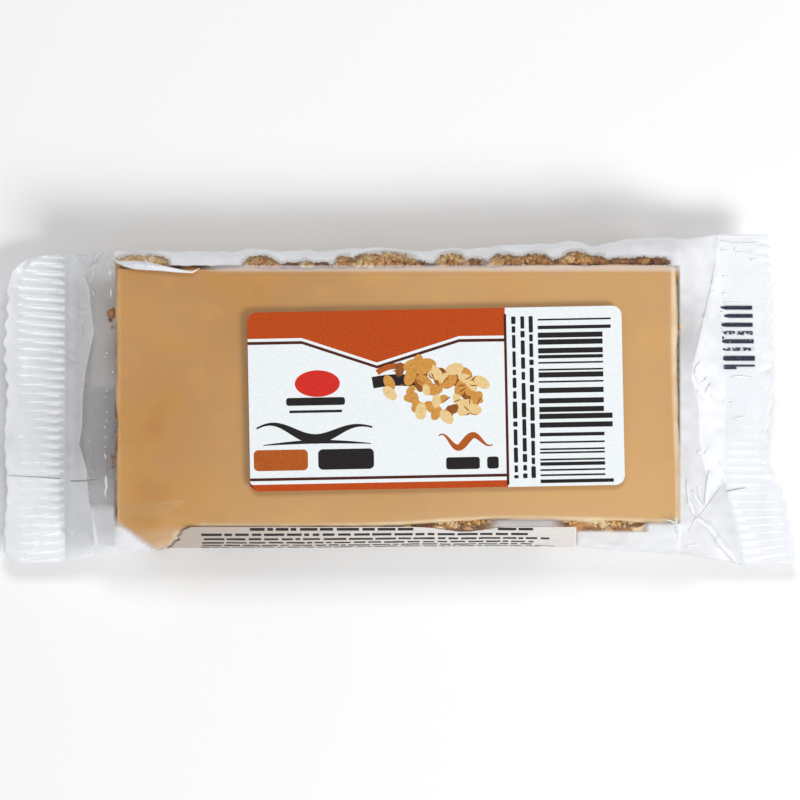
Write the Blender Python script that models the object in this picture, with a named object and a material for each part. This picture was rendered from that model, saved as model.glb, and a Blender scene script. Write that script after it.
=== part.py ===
import math

import bmesh
import bpy
import numpy as np

for old in list(bpy.data.objects):
    bpy.data.objects.remove(old, do_unlink=True)

pack = bpy.data.collections.new("granola_bar_pack")
bpy.context.scene.collection.children.link(pack)

MM = 0.001

# Block under the film, in millimetres
BLOCK_LEFT = -54.1
BLOCK_RIGHT = 53.0
TOP_Z = 17.2
FOOT_Z = 0.9
FRONT_TOP_Y = -25.0
FRONT_BULGE_Y = -27.7
FRONT_BULGE_Z = 7.5
FRONT_FOOT_Y = -25.6
BACK_TOP_Y = 25.1
BACK_BULGE_Y = 28.3
BACK_BULGE_Z = 12.0
BACK_FOOT_Y = 26.2

# Crags that push the film out along the back and the front: middle, half width, height
BACK_CRAGS = ((-27, 2.6, 0.5), (-18, 1.4, 0.4), (-5, 7.0, 0.7), (10, 2.6, 0.5), (20, 3, 0.5),
              (34, 3.6, 0.6), (45, 6.0, 0.7))
FRONT_CRAGS = ((11, 4.5, 0.5), (30, 2.2, 0.4), (40, 6.0, 0.6), (-47, 4.0, 0.6))

# Where the faces swell along x: rises are (from, to, by), bumps are (middle, half width, by)
FRONT_RISES = ((38, 53, -1.3), (-44, -54, -0.6))
FRONT_BUMPS = ((15, 22, 0.4),)
BACK_RISES = ((5, 31, 1.5), (40, 53, 0.9))
BACK_BUMPS = ((36.5, 2.5, -0.8),)
FACE_POWER = 2.0
FRONT_UNEVEN = 0.25
BACK_UNEVEN = 0.3
TOP_SAG = 0.22
CORNER_DROOP = 1.3

# Long seal folded flat under the block
FIN_FRONT = -14.0
FIN_BACK = 3.4
FIN_STEP = 0.2

# Ribbed end seals
SEAL_HALF = 0.25
RIB_PITCH = 1.66
RIB_HEIGHT = 0.32
LEFT_OUTER = -75.3
LEFT_INNER = -63.9
LEFT_FRONT, LEFT_BACK = -30.5, 28.4
LEFT_CORNER_BACK = (7.6, 7.6)
LEFT_CORNER_FRONT = (2.6, 2.6)
LEFT_HEIGHT = 5.0
RIGHT_OUTER = 70.6
RIGHT_INNER = 61.0
RIGHT_FRONT, RIGHT_BACK = -30.9, 32.1
RIGHT_OUTER_RISES = ((-10, -21.5, 3.4), (-20, -29, 1.3))
RIGHT_OUTER_BUMPS = ((5.5, 5, 0.8), (-8, 4, -0.6), (6.2, 0.7, -1.6))
RIGHT_INNER_RISES = ((28, 0, 1.0), (0, -30, 3.6))
RIGHT_HEIGHT = 4.8
RIGHT_HEIGHT_RISES = ((-6, 32, 2.6),)
SEAL_WAVE = 0.5
SCALLOP_PITCH = 3.32
SCALLOP_DEPTH = 0.32
FOLD_HEIGHT = 0.42

# Sections along the bag, as shares of the way across a seal or a slack end
LEFT_SEAL_SECTIONS = ((1.0, False), (0.84, False), (0.76, True), (0.06, True))
RIGHT_SEAL_SECTIONS = ((0.08, True), (0.8, True), (0.88, False), (1.0, False))
SLACK_SECTIONS = (0.05, 0.15, 0.3, 0.45, 0.6, 0.74, 0.88, 1.0)
BLOCK_SECTIONS = 46

# Stickers
TOP_LABEL = (71.2, 34.2, 0.3)
TOP_LABEL_AT = (6.8, -0.3, 17.5)
TOP_LABEL_TURN = 1.1
TOP_LABEL_CORNER = 1.8
BACK_LABEL_X = (-43.0, 33.5)
BACK_LABEL_TOP_Z = 16.6
BACK_LABEL_END_Y = -15.0
LABEL_GAP = 0.35
LABEL_THICK = 0.3


def step(a, b, t):
    """Smooth rise from 0 at a to 1 at b."""
    k = np.clip((np.asarray(t, float) - a) / (b - a), 0, 1)
    return k * k * (3 - 2 * k)


def bump(t, middle, half):
    return np.exp(-(((np.asarray(t, float) - middle) / half) ** 2))


def varied(t, rises, bumps=()):
    """Sum of the listed smooth rises and bumps at t."""
    total = sum(by * float(step(a, b, t)) for a, b, by in rises)
    return total + sum(by * float(bump(t, middle, half)) for middle, half, by in bumps)


def waves(x, y):
    """Even, repeatable unevenness between -1 and 1."""
    return (math.sin(0.71 * x + 1.3 * y + 0.4) + math.sin(1.57 * x - 0.83 * y + 2.1)
            + math.sin(0.33 * x - 2.2 * y + 1.0)) / 3


def top_height(x, y):
    """The stretched top: sagging a little between the rims, drooping at the front left corner."""
    sag = TOP_SAG * (1 - (y / 27) ** 2) * (1 - (x / 60) ** 2)
    droop = CORNER_DROOP * float(bump(x, BLOCK_LEFT, 7) * step(-14, FRONT_TOP_Y, y))
    return TOP_Z - sag - droop


def face_line(z, bulge, bulge_z, top_y, foot_y):
    """(y, share of the way from the bulge to the edge) of a smooth face at this height."""
    if z >= bulge_z:
        share = (z - bulge_z) / (TOP_Z - bulge_z)
        edge = top_y
    else:
        share = (bulge_z - z) / (bulge_z - FOOT_Z)
        edge = foot_y
    return bulge + (edge - bulge) * share ** FACE_POWER, share


def front_face(x, z):
    """y of the front face at this height."""
    bulge = FRONT_BULGE_Y + varied(x, FRONT_RISES, FRONT_BUMPS)
    y, share = face_line(z, bulge, FRONT_BULGE_Z, FRONT_TOP_Y, FRONT_FOOT_Y)
    left, right = BACK_LABEL_X
    under_label = float(step(left - 3, left, x) * step(right + 3, right, x))
    crags = varied(x, (), FRONT_CRAGS) + FRONT_UNEVEN * waves(x, z)
    return y - crags * (1 - 0.8 * under_label) * (1 - share ** 2)


def back_face(x, z):
    """y of the back face at this height."""
    bulge = BACK_BULGE_Y + varied(x, BACK_RISES, BACK_BUMPS)
    y, share = face_line(z, bulge, BACK_BULGE_Z, BACK_TOP_Y, BACK_FOOT_Y)
    crags = varied(x, (), BACK_CRAGS) + BACK_UNEVEN * waves(x, z + 9)
    return y + crags * (1 - share ** 2)


def block_upper(x):
    """Upper half of the section: front bulge, up, over the top, down to the back bulge."""
    points = []
    for i in range(5):
        z = FRONT_BULGE_Z + (TOP_Z - FRONT_BULGE_Z) * math.sin(math.pi / 2 * i / 5)
        points.append((front_face(x, z), z))
    for i in range(19):
        y = FRONT_TOP_Y + (BACK_TOP_Y - FRONT_TOP_Y) * i / 18
        points.append((y, top_height(x, y)))
    for i in range(1, 6):
        z = TOP_Z + (BACK_BULGE_Z - TOP_Z) * (1 - math.cos(math.pi / 2 * i / 5))
        points.append((back_face(x, z), z))
    return points


def block_lower(x):
    """Lower half: back bulge, down, under the block with the folded long seal, up to the front."""
    points = []
    fin_back, fin_front = FIN_BACK + FIN_STEP, FIN_FRONT - FIN_STEP
    for i in range(1, 5):
        z = BACK_BULGE_Z + (FOOT_Z - BACK_BULGE_Z) * math.sin(math.pi / 2 * i / 5)
        points.append((back_face(x, z), z))
    for i in range(5):
        points.append((BACK_FOOT_Y + (fin_back - BACK_FOOT_Y) * i / 4, FOOT_Z))
    for i in range(5):
        points.append((FIN_BACK + (FIN_FRONT - FIN_BACK) * i / 4, 0.0))
    for i in range(5):
        points.append((fin_front + (FRONT_FOOT_Y - fin_front) * i / 4, FOOT_Z))
    for i in range(1, 5):
        z = FOOT_Z + (FRONT_BULGE_Z - FOOT_Z) * (1 - math.cos(math.pi / 2 * i / 5))
        points.append((front_face(x, z), z))
    return points


def shares(points):
    """How far along its own length each point of a line lies, 0 to 1."""
    steps = [math.dist(a, b) for a, b in zip(points, points[1:])]
    return [sum(steps[:i]) / sum(steps) for i in range(len(points))]


def scallop(y):
    return SCALLOP_DEPTH * math.cos(2 * math.pi * y / SCALLOP_PITCH)


def rounded(reach, size):
    """How far an edge is cut back at a round corner, this far into it."""
    along, across = size
    k = min(max(reach / across, 0.0), 1.0)
    return along * (1 - math.sqrt(1 - k * k))


def seal_left(y):
    """(outer x, inner x, height) of the left seal at this y."""
    outer = LEFT_OUTER + scallop(y) + 0.25 * math.sin(y * 0.35 + 1)
    outer += rounded(y - (LEFT_BACK - LEFT_CORNER_BACK[1]), LEFT_CORNER_BACK)
    outer += rounded(LEFT_FRONT + LEFT_CORNER_FRONT[1] - y, LEFT_CORNER_FRONT)
    return outer, LEFT_INNER, LEFT_HEIGHT + SEAL_WAVE * math.sin(y / 9 + 0.5)


def seal_right(y):
    """(outer x, inner x, height) of the right seal at this y."""
    outer = RIGHT_OUTER + scallop(y) + varied(y, RIGHT_OUTER_RISES, RIGHT_OUTER_BUMPS)
    inner = RIGHT_INNER + varied(y, RIGHT_INNER_RISES)
    height = RIGHT_HEIGHT + varied(y, RIGHT_HEIGHT_RISES) + SEAL_WAVE * math.sin(y / 3.6)
    return outer, inner, height


def folds(x, y, share):
    """Creases of the slack film between block and seal."""
    fan = math.sin(0.62 * y + 0.55 * abs(x) + 0.9) + 0.6 * math.sin(1.31 * y - 0.4 * x)
    return FOLD_HEIGHT * fan * math.sin(math.pi * share)


def tent_ring(end, seal, front, back, share):
    """One section of the slack film, at this share of the way from the block to the seal."""
    ring = []
    upper = block_upper(end)
    lower = block_lower(end)
    closed_lower = [upper[-1]] + lower + [upper[0]]
    along = shares(upper)
    for (y0, z0), s in zip(upper, along):
        y1 = front + (back - front) * s
        _, inner, height = seal(y1)
        x = end + (inner - end) * share
        y = y0 + (y1 - y0) * share
        z = z0 + (height + SEAL_HALF - z0) * share
        edge = min(s, 1 - s)
        ring.append((x, y, z + folds(x, y, share) * min(1.0, 6 * edge)))
    for (y0, z0), s in list(zip(closed_lower, shares(closed_lower)))[1:-1]:
        y1 = back + (front - back) * s
        _, inner, height = seal(y1)
        x = end + (inner - end) * share
        y = y0 + (y1 - y0) * share
        z = z0 + (height - SEAL_HALF - z0) * share
        ring.append((x, y, z))
    return ring


def seal_ring(seal, front, back, share, ribbed):
    """One closed loop of a seal, at this share of the way from its inner to its outer edge."""
    count = 2 * int(round((back - front) / RIB_PITCH))
    upper, lower = [], []
    for i in range(count + 1):
        y = front + (back - front) * i / count
        outer, inner, height = seal(y)
        x = inner + (outer - inner) * share
        rib = (RIB_HEIGHT if i % 2 else -RIB_HEIGHT) if ribbed else 0.0
        upper.append((x, y, height + SEAL_HALF + rib))
        lower.append((x, y, height - SEAL_HALF + rib))
    return upper + lower[::-1]


def ring_shares(ring, half):
    """Each point's share of the way round, 0 to 0.5 over the top and 0.5 to 1 under it."""
    ys = [p[1] for p in ring]
    low, high = min(ys), max(ys)
    over = [0.499 * (y - low) / (high - low) for y in ys[:half]]
    under = [0.5 + 0.499 * (high - y) / (high - low) for y in ys[half:]]
    return over + under


def bridge(first, first_at, second, second_at):
    """Triangles between two closed loops of different counts."""
    faces = []
    i = j = 0
    n, m = len(first), len(second)
    at_first = list(first_at) + [first_at[0] + 1]
    at_second = list(second_at) + [second_at[0] + 1]
    while i < n or j < m:
        if j == m or (i < n and at_first[i + 1] <= at_second[j + 1]):
            faces.append((first[i % n], first[(i + 1) % n], second[j % m]))
            i += 1
        else:
            faces.append((first[i % n], second[(j + 1) % m], second[j % m]))
            j += 1
    return faces


def add_object(name, points, faces, colour, roughness):
    mesh = bpy.data.meshes.new(name)
    mesh.from_pydata([tuple(c * MM for c in p) for p in points], [], faces)
    shape = bmesh.new()
    shape.from_mesh(mesh)
    bmesh.ops.recalc_face_normals(shape, faces=shape.faces)
    shape.to_mesh(mesh)
    shape.free()
    made = bpy.data.objects.new(name, mesh)
    pack.objects.link(made)
    dress(made, colour, roughness)
    return made


def dress(made, colour, roughness):
    material = bpy.data.materials.new(made.name + "_surface")
    material.use_nodes = True
    surface = material.node_tree.nodes["Principled BSDF"]
    surface.inputs["Base Color"].default_value = colour
    surface.inputs["Roughness"].default_value = roughness
    made.data.materials.append(material)


# Bag: one closed skin, from the left seal over the block to the right seal
rings = []
for share, ribbed in LEFT_SEAL_SECTIONS:
    rings.append(seal_ring(seal_left, LEFT_FRONT, LEFT_BACK, share, ribbed))
for share in SLACK_SECTIONS[::-1]:
    rings.append(tent_ring(BLOCK_LEFT, seal_left, LEFT_FRONT, LEFT_BACK, share))
for i in range(BLOCK_SECTIONS + 1):
    x = BLOCK_LEFT + (BLOCK_RIGHT - BLOCK_LEFT) * i / BLOCK_SECTIONS
    rings.append([(x, y, z) for y, z in block_upper(x) + block_lower(x)])
for share in SLACK_SECTIONS:
    rings.append(tent_ring(BLOCK_RIGHT, seal_right, RIGHT_FRONT, RIGHT_BACK, share))
for share, ribbed in RIGHT_SEAL_SECTIONS:
    rings.append(seal_ring(seal_right, RIGHT_FRONT, RIGHT_BACK, share, ribbed))

points = []
faces = []
starts = []
for ring in rings:
    starts.append(len(points))
    points.extend(ring)
block_count = len(block_upper(0.0)) + len(block_lower(0.0))
over_block = len(block_upper(0.0))
for k in range(len(rings) - 1):
    a = list(range(starts[k], starts[k] + len(rings[k])))
    b = list(range(starts[k + 1], starts[k + 1] + len(rings[k + 1])))
    if len(a) == len(b):
        n = len(a)
        faces.extend((a[i], b[i], b[(i + 1) % n], a[(i + 1) % n]) for i in range(n))
    else:
        at_a = ring_shares(rings[k], over_block if len(a) == block_count else len(a) // 2)
        at_b = ring_shares(rings[k + 1], over_block if len(b) == block_count else len(b) // 2)
        faces.extend(bridge(a, at_a, b, at_b))
for k in (0, len(rings) - 1):
    loop = list(range(starts[k], starts[k] + len(rings[k])))
    half = len(loop) // 2
    for i in range(half - 1):
        faces.append((loop[i], loop[i + 1], loop[-2 - i], loop[-1 - i]))
wrapper = add_object("wrapper", points, faces, (0.72, 0.5, 0.28, 1), 0.3)

# Top sticker: a thin plate with rounded corners, turned a little
bpy.ops.mesh.primitive_cube_add(size=1)
top_label = bpy.context.object
for holder in list(top_label.users_collection):
    holder.objects.unlink(top_label)
pack.objects.link(top_label)
top_label.name = "top_label"
top_label.data.name = "top_label"
shape = bmesh.new()
shape.from_mesh(top_label.data)
for vert in shape.verts:
    vert.co.x *= TOP_LABEL[0] * MM
    vert.co.y *= TOP_LABEL[1] * MM
    vert.co.z = (vert.co.z + 0.5) * TOP_LABEL[2] * MM
upright = [e for e in shape.edges if abs(e.verts[0].co.z - e.verts[1].co.z) > 0.1 * MM]
bmesh.ops.bevel(shape, geom=upright, offset=TOP_LABEL_CORNER * MM, segments=6, profile=0.5,
                affect="EDGES")
shape.to_mesh(top_label.data)
shape.free()
top_label.location = tuple(c * MM for c in TOP_LABEL_AT)
top_label.rotation_euler = (0, 0, math.radians(TOP_LABEL_TURN))
dress(top_label, (0.85, 0.86, 0.86, 1), 0.45)


def back_label_line(x):
    """Inner line of the rear sticker at this x: down the front face and in under the block."""
    line = []
    foot = FOOT_Z - LABEL_GAP
    for i in range(11):
        z = BACK_LABEL_TOP_Z + (FOOT_Z - BACK_LABEL_TOP_Z) * i / 10
        line.append((front_face(x, z) - LABEL_GAP, z))
    y0, z0 = line[-1]
    y1 = y0 + 0.5
    line.append((y0 + 0.12, z0 - 0.22))
    for i in range(7):
        line.append((y1 + (BACK_LABEL_END_Y - y1) * i / 6, foot))
    return line


# Rear sticker: a thin bent sheet, seen along the front
points = []
faces = []
columns = 28
for c in range(columns + 1):
    x = BACK_LABEL_X[0] + (BACK_LABEL_X[1] - BACK_LABEL_X[0]) * c / columns
    inner = back_label_line(x)
    outer = []
    for i, (y, z) in enumerate(inner):
        before = inner[max(i - 1, 0)]
        after = inner[min(i + 1, len(inner) - 1)]
        dy, dz = after[0] - before[0], after[1] - before[1]
        size = math.hypot(dy, dz)
        outer.append((y + LABEL_THICK * dz / size, z - LABEL_THICK * dy / size))
    points.extend((x, y, z) for y, z in inner + outer[::-1])
n = len(points) // (columns + 1)
for c in range(columns):
    a, b = c * n, (c + 1) * n
    faces.extend((a + i, b + i, b + (i + 1) % n, a + (i + 1) % n) for i in range(n))
for a in (0, columns * n):
    faces.extend((a + i, a + i + 1, a + n - 2 - i, a + n - 1 - i) for i in range(n // 2 - 1))
back_label = add_object("back_label", points, faces, (0.62, 0.58, 0.54, 1), 0.5)

# Centre of the footprint at the origin
bpy.context.view_layer.update()
everything = np.array([tuple(o.matrix_world @ v.co) for o in (wrapper, top_label, back_label)
                       for v in o.data.vertices])
low, high = everything.min(axis=0), everything.max(axis=0)
for piece in (wrapper, top_label, back_label):
    piece.location.x -= (low[0] + high[0]) / 2
    piece.location.y -= (low[1] + high[1]) / 2
    piece.location.z -= low[2]
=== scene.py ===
import math

import bmesh
import bpy
import numpy as np
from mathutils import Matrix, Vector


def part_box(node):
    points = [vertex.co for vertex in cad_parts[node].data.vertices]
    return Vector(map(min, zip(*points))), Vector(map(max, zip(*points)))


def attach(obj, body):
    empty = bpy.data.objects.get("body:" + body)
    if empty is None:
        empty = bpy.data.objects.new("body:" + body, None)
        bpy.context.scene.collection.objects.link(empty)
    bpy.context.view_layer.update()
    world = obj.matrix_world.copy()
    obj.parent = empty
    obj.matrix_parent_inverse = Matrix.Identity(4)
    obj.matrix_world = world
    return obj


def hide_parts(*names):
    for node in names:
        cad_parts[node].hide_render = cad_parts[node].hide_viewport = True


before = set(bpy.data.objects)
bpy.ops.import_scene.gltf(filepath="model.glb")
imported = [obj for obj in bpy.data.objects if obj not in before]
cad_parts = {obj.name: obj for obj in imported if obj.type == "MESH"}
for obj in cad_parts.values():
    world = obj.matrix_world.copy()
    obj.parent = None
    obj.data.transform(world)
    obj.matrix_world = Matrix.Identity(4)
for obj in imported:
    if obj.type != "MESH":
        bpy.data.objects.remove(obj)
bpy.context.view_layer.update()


# Oat base
# The real bar is rolled oats bound with syrup and baked in a tray, then cut. Flakes stand out of
# the cut sides and press the film outwards along the back.

MM = 0.001
# Everything below is in millimetres from the middle of the bar, z up from the table. The bag's
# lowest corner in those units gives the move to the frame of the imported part.
BAG_LOW = (-75.8545, -30.9, 0.0)
SHIFT = np.array(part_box("wrapper")[0]) / MM - np.array(BAG_LOW)

BLOCK_LEFT = -54.1
BLOCK_RIGHT = 53.0
TOP_Z = 17.2
FOOT_Z = 0.9
FRONT_TOP_Y = -24.4
FRONT_BULGE_Y = -27.7
FRONT_BULGE_Z = 7.5
FRONT_FOOT_Y = -25.6
BACK_TOP_Y = 25.1
BACK_BULGE_Y = 28.3
BACK_BULGE_Z = 12.0
BACK_FOOT_Y = 26.2
BACK_CRAGS = ((-27, 2.6, 0.5), (-18, 1.4, 0.4), (-5, 7.0, 0.7), (10, 2.6, 0.5), (20, 3, 0.5),
              (34, 3.6, 0.6), (45, 6.0, 0.7))
FRONT_CRAGS = ((11, 4.5, 0.5), (30, 2.2, 0.4), (40, 6.0, 0.6), (-47, 4.0, 0.6))
FRONT_RISES = ((38, 53, -1.3), (-44, -54, -0.6))
FRONT_BUMPS = ((15, 22, 0.4),)
BACK_RISES = ((5, 31, 1.5), (40, 53, 0.9))
BACK_BUMPS = ((36.5, 2.5, -0.8),)
REAR_LABEL_X = (-43.0, 33.5)


def rise(a, b, t):
    """Smooth rise from 0 at a to 1 at b: 3k² - 2k³ of the share k of the way."""
    k = np.clip((t - a) / (b - a), 0, 1)
    return k * k * (3 - 2 * k)


def hump(t, middle, half):
    """Bell of height 1: e to the power of minus the squared distance in half widths."""
    return np.exp(-(((t - middle) / half) ** 2))


def swell(t, rises, humps=()):
    """Sum of smooth rises (from, to, by) and bells (middle, half width, by)."""
    total = np.zeros_like(t, float)
    for a, b, by in rises:
        total = total + by * rise(a, b, t)
    for middle, half, by in humps:
        total = total + by * hump(t, middle, half)
    return total


def waves(x, y):
    """Mean of three slanted sines, between -1 and 1."""
    return (np.sin(0.71 * x + 1.3 * y + 0.4) + np.sin(1.57 * x - 0.83 * y + 2.1)
            + np.sin(0.33 * x - 2.2 * y + 1.0)) / 3


def face_line(z, bulge, bulge_z, top_y, foot_y):
    """y of a side: the bulge, falling off to the top and foot edges as the squared share of the
    way there. Also gives that share."""
    above = z >= bulge_z
    share = np.where(above, (z - bulge_z) / (TOP_Z - bulge_z), (bulge_z - z) / (bulge_z - FOOT_Z))
    share = np.clip(share, 0, 1)
    edge = np.where(above, top_y, foot_y)
    return bulge + (edge - bulge) * share ** 2, share


def front_face(x, z):
    """Film in front of the bar: face_line with crags that flatten under the rear sticker."""
    bulge = FRONT_BULGE_Y + swell(x, FRONT_RISES, FRONT_BUMPS)
    y, share = face_line(z, bulge, FRONT_BULGE_Z, FRONT_TOP_Y, FRONT_FOOT_Y)
    left, right = REAR_LABEL_X
    under_label = rise(left - 3, left, x) * rise(right + 3, right, x)
    crags = swell(x, (), FRONT_CRAGS) + 0.25 * waves(x, z)
    return y - crags * (1 - 0.8 * under_label) * (1 - share ** 2)


def back_face(x, z):
    """Film behind the bar: face_line with the clumps of the bar pushing it out."""
    bulge = BACK_BULGE_Y + swell(x, BACK_RISES, BACK_BUMPS)
    y, share = face_line(z, bulge, BACK_BULGE_Z, BACK_TOP_Y, BACK_FOOT_Y)
    crags = swell(x, (), BACK_CRAGS) + 0.3 * waves(x, z + 9)
    return y + crags * (1 - share ** 2)


def lumps(points, size, seed):
    """Smooth unevenness between -1 and 1: random heights on a cubic lattice of this cell size,
    blended by smooth steps along all three directions."""
    heights = np.random.default_rng(seed).uniform(-1, 1, (16, 16, 16))
    cell = np.floor(points / size).astype(int)
    k = points / size - cell
    k = k * k * (3 - 2 * k)
    total = np.zeros(points.shape[:-1])
    for corner in np.ndindex(2, 2, 2):
        weight = np.ones(points.shape[:-1])
        for axis in range(3):
            weight = weight * (k[..., axis] if corner[axis] else 1 - k[..., axis])
        at = (cell + np.array(corner)) % 16
        total = total + weight * heights[at[..., 0], at[..., 1], at[..., 2]]
    return total


def block_skin(low, high, radius, spacing):
    """Closed skin of a box with rounded edges: a grid on each of its six sides, each point moved
    to the nearest point of the box smaller by the radius, and from there out by the radius.
    Returns points, faces and outward directions."""
    low = np.array(low, float)
    high = np.array(high, float)
    middle = (low + high) / 2
    points = []
    faces = []
    count = 0
    for axis in range(3):
        others = [a for a in range(3) if a != axis]
        lines = []
        for a in others:
            steps = max(2, int(round((high[a] - low[a]) / spacing)))
            lines.append(np.linspace(low[a], high[a], steps + 1))
        first, second = np.meshgrid(*lines, indexing="ij")
        rows, columns = first.shape
        index = np.arange(rows * columns).reshape(rows, columns)
        quads = np.stack((index[:-1, :-1], index[1:, :-1], index[1:, 1:], index[:-1, 1:]), -1)
        quads = quads.reshape(-1, 4)
        for level in (low[axis], high[axis]):
            side = np.zeros((rows * columns, 3))
            side[:, others[0]] = first.ravel()
            side[:, others[1]] = second.ravel()
            side[:, axis] = level
            points.append(side)
            faces.append(quads + count)
            count += len(side)
    points = np.concatenate(points)
    faces = np.concatenate(faces)
    keys = np.round(points / (spacing * 0.01)).astype(int)
    _, kept, renumbered = np.unique(keys, axis=0, return_index=True, return_inverse=True)
    points = points[kept]
    faces = renumbered.reshape(-1)[faces]
    core = np.clip(points, low + radius, high - radius)
    outward = points - core
    outward = outward / np.maximum(np.linalg.norm(outward, axis=1, keepdims=True), 1e-9)
    return core + outward * radius, faces, outward


def linear(code):
    """Linear RGBA of an sRGB hex code."""
    parts = [int(code[i:i + 2], 16) / 255 for i in (1, 3, 5)]
    return tuple(p / 12.92 if p <= 0.04045 else ((p + 0.055) / 1.055) ** 2.4
                 for p in parts) + (1.0,)


def add_node(tree, kind, inputs=None, **settings):
    """Adds a node with its settings. An input is a value, or a (node, output) pair to link."""
    node = tree.nodes.new(kind)
    for key, value in settings.items():
        setattr(node, key, value)
    for socket, value in (inputs or {}).items():
        if isinstance(value, tuple) and isinstance(value[0], bpy.types.Node):
            tree.links.new(value[0].outputs[value[1]], node.inputs[socket])
        else:
            node.inputs[socket].default_value = value
    return node


def new_material(name):
    """An empty node material and its node tree."""
    material = bpy.data.materials.new(name)
    material.use_nodes = True
    material.node_tree.nodes.clear()
    return material, material.node_tree


def put_surface(tree, shader):
    """Makes this shader the material's surface."""
    add_node(tree, "ShaderNodeOutputMaterial", {"Surface": (shader, 0)})


def point_number(tree, name):
    """The number of this name kept at each point of the mesh."""
    return add_node(tree, "ShaderNodeAttribute", attribute_name=name)


def noise(tree, size_mm, detail, roughness=0.5):
    """Noise in the piece's own coordinates, with patches of this size."""
    place = add_node(tree, "ShaderNodeTexCoord")
    return add_node(tree, "ShaderNodeTexNoise", {"Vector": (place, "Object"),
                    "Scale": 1 / (size_mm * MM), "Detail": detail, "Roughness": roughness})


def bump(tree, height, strength, deep_mm, under=None):
    """Fine relief from a noise, on top of another relief if one is given."""
    inputs = {"Height": (height, "Fac"), "Strength": strength, "Distance": deep_mm * MM}
    if under is not None:
        inputs["Normal"] = (under, 0)
    return add_node(tree, "ShaderNodeBump", inputs)


def towards(tree, factor, colour, code):
    """A (node, output) colour mixed towards a hex code by the number at each point."""
    mixed = add_node(tree, "ShaderNodeMix", {0: (factor, "Fac"), 6: colour, 7: linear(code)},
                     data_type="RGBA")
    return mixed, 2


def ramp(tree, factor, stops):
    """A colour ramp on a (node, output) pair; stops are (place, hex code)."""
    node = add_node(tree, "ShaderNodeValToRGB", {"Fac": factor})
    band = node.color_ramp
    while len(band.elements) < len(stops):
        band.elements.new(0.5)
    for element, (place, code) in zip(band.elements, stops):
        element.position = place
        element.color = linear(code)
    return node


def put_mesh(name, points, faces, material, node="wrapper", smooth=True,
             values=None):
    """A piece from points in the bag's millimetres and rows of point numbers. Its faces are turned
    outwards, it rides on the frame and takes the place of this CAD node, and values are named
    numbers kept at each point."""
    mesh = bpy.data.meshes.new(name)
    placed = (np.asarray(points, float) + SHIFT) * MM
    mesh.from_pydata(placed.tolist(), [], [list(f) for f in faces])
    shape = bmesh.new()
    shape.from_mesh(mesh)
    bmesh.ops.recalc_face_normals(shape, faces=shape.faces)
    shape.to_mesh(mesh)
    shape.free()
    mesh.polygons.foreach_set("use_smooth", [smooth] * len(mesh.polygons))
    for key, numbers in (values or {}).items():
        layer = mesh.attributes.new(key, "FLOAT", "POINT")
        layer.data.foreach_set("value", np.asarray(numbers, np.float32).ravel())
    mesh.materials.append(material)
    piece = bpy.data.objects.new(name, mesh)
    bpy.context.scene.collection.objects.link(piece)
    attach(piece, "root")
    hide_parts(node)


def joined(parts):
    """One row of points and one of faces from several (points, faces) parts."""
    starts = np.cumsum([0] + [len(points) for points, _ in parts[:-1]])
    return (np.concatenate([points for points, _ in parts]),
            np.concatenate([faces + start for (_, faces), start in zip(parts, starts)]))


# Baked oats, bound and browned with syrup: matt flakes with a slight sugar gloss. One number at
# each point picks the tone from pale flake to dark toasted edge.
BRAN_GRAIN_MM = 0.6
baked_oats, tree = new_material("baked_rolled_oats")
tone = point_number(tree, "tone")
grain = noise(tree, BRAN_GRAIN_MM, 3.0, 0.6)
spread = add_node(tree, "ShaderNodeMath", {0: (grain, "Fac"), 1: 0.34, 2: -0.17},
                  operation="MULTIPLY_ADD")
toned = add_node(tree, "ShaderNodeMath", {0: (tone, "Fac"), 1: (spread, 0)}, operation="ADD")
oat_colours = ramp(tree, (toned, 0), ((0.0, "#F3E2BA"), (0.3, "#E5BB78"), (0.55, "#CA8F46"),
                                     (0.78, "#9A5C1E"), (1.0, "#5B3010")))
rough = bump(tree, grain, 0.5, 0.15)
skin = add_node(tree, "ShaderNodeBsdfPrincipled", {"Base Color": (oat_colours, 0),
                "Roughness": 0.55, "IOR": 1.45, "Subsurface Weight": 0.08,
                "Subsurface Scale": 0.001, "Normal": (rough, 0)})
put_surface(tree, skin)

CORE_LOW = (-53.2, -25.9, 1.3)
CORE_HIGH = (51.6, 26.6, 14.4)
CORE_ROUND = 2.2
CORE_SPACING = 0.9
OATS_FOOT_Z = FOOT_Z + 0.25
OATS_TOP_Z = TOP_Z - 1.2
RECESS_X = 46.8
RECESS_Y = -23.6
FILM_CLEAR = 0.3
RUN_CLEAR = 0.8
CLUMP_FOOT_Y = 25.8
CLUMP_REACH = 1.6

points, faces, outward = block_skin(CORE_LOW, CORE_HIGH, CORE_ROUND, CORE_SPACING)
uneven = (0.75 * lumps(points, 5.0, 1) + 0.45 * lumps(points, 2.3, 2) + 0.2 * lumps(points, 1.1, 3))
points = points + outward * uneven[:, None]


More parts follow.
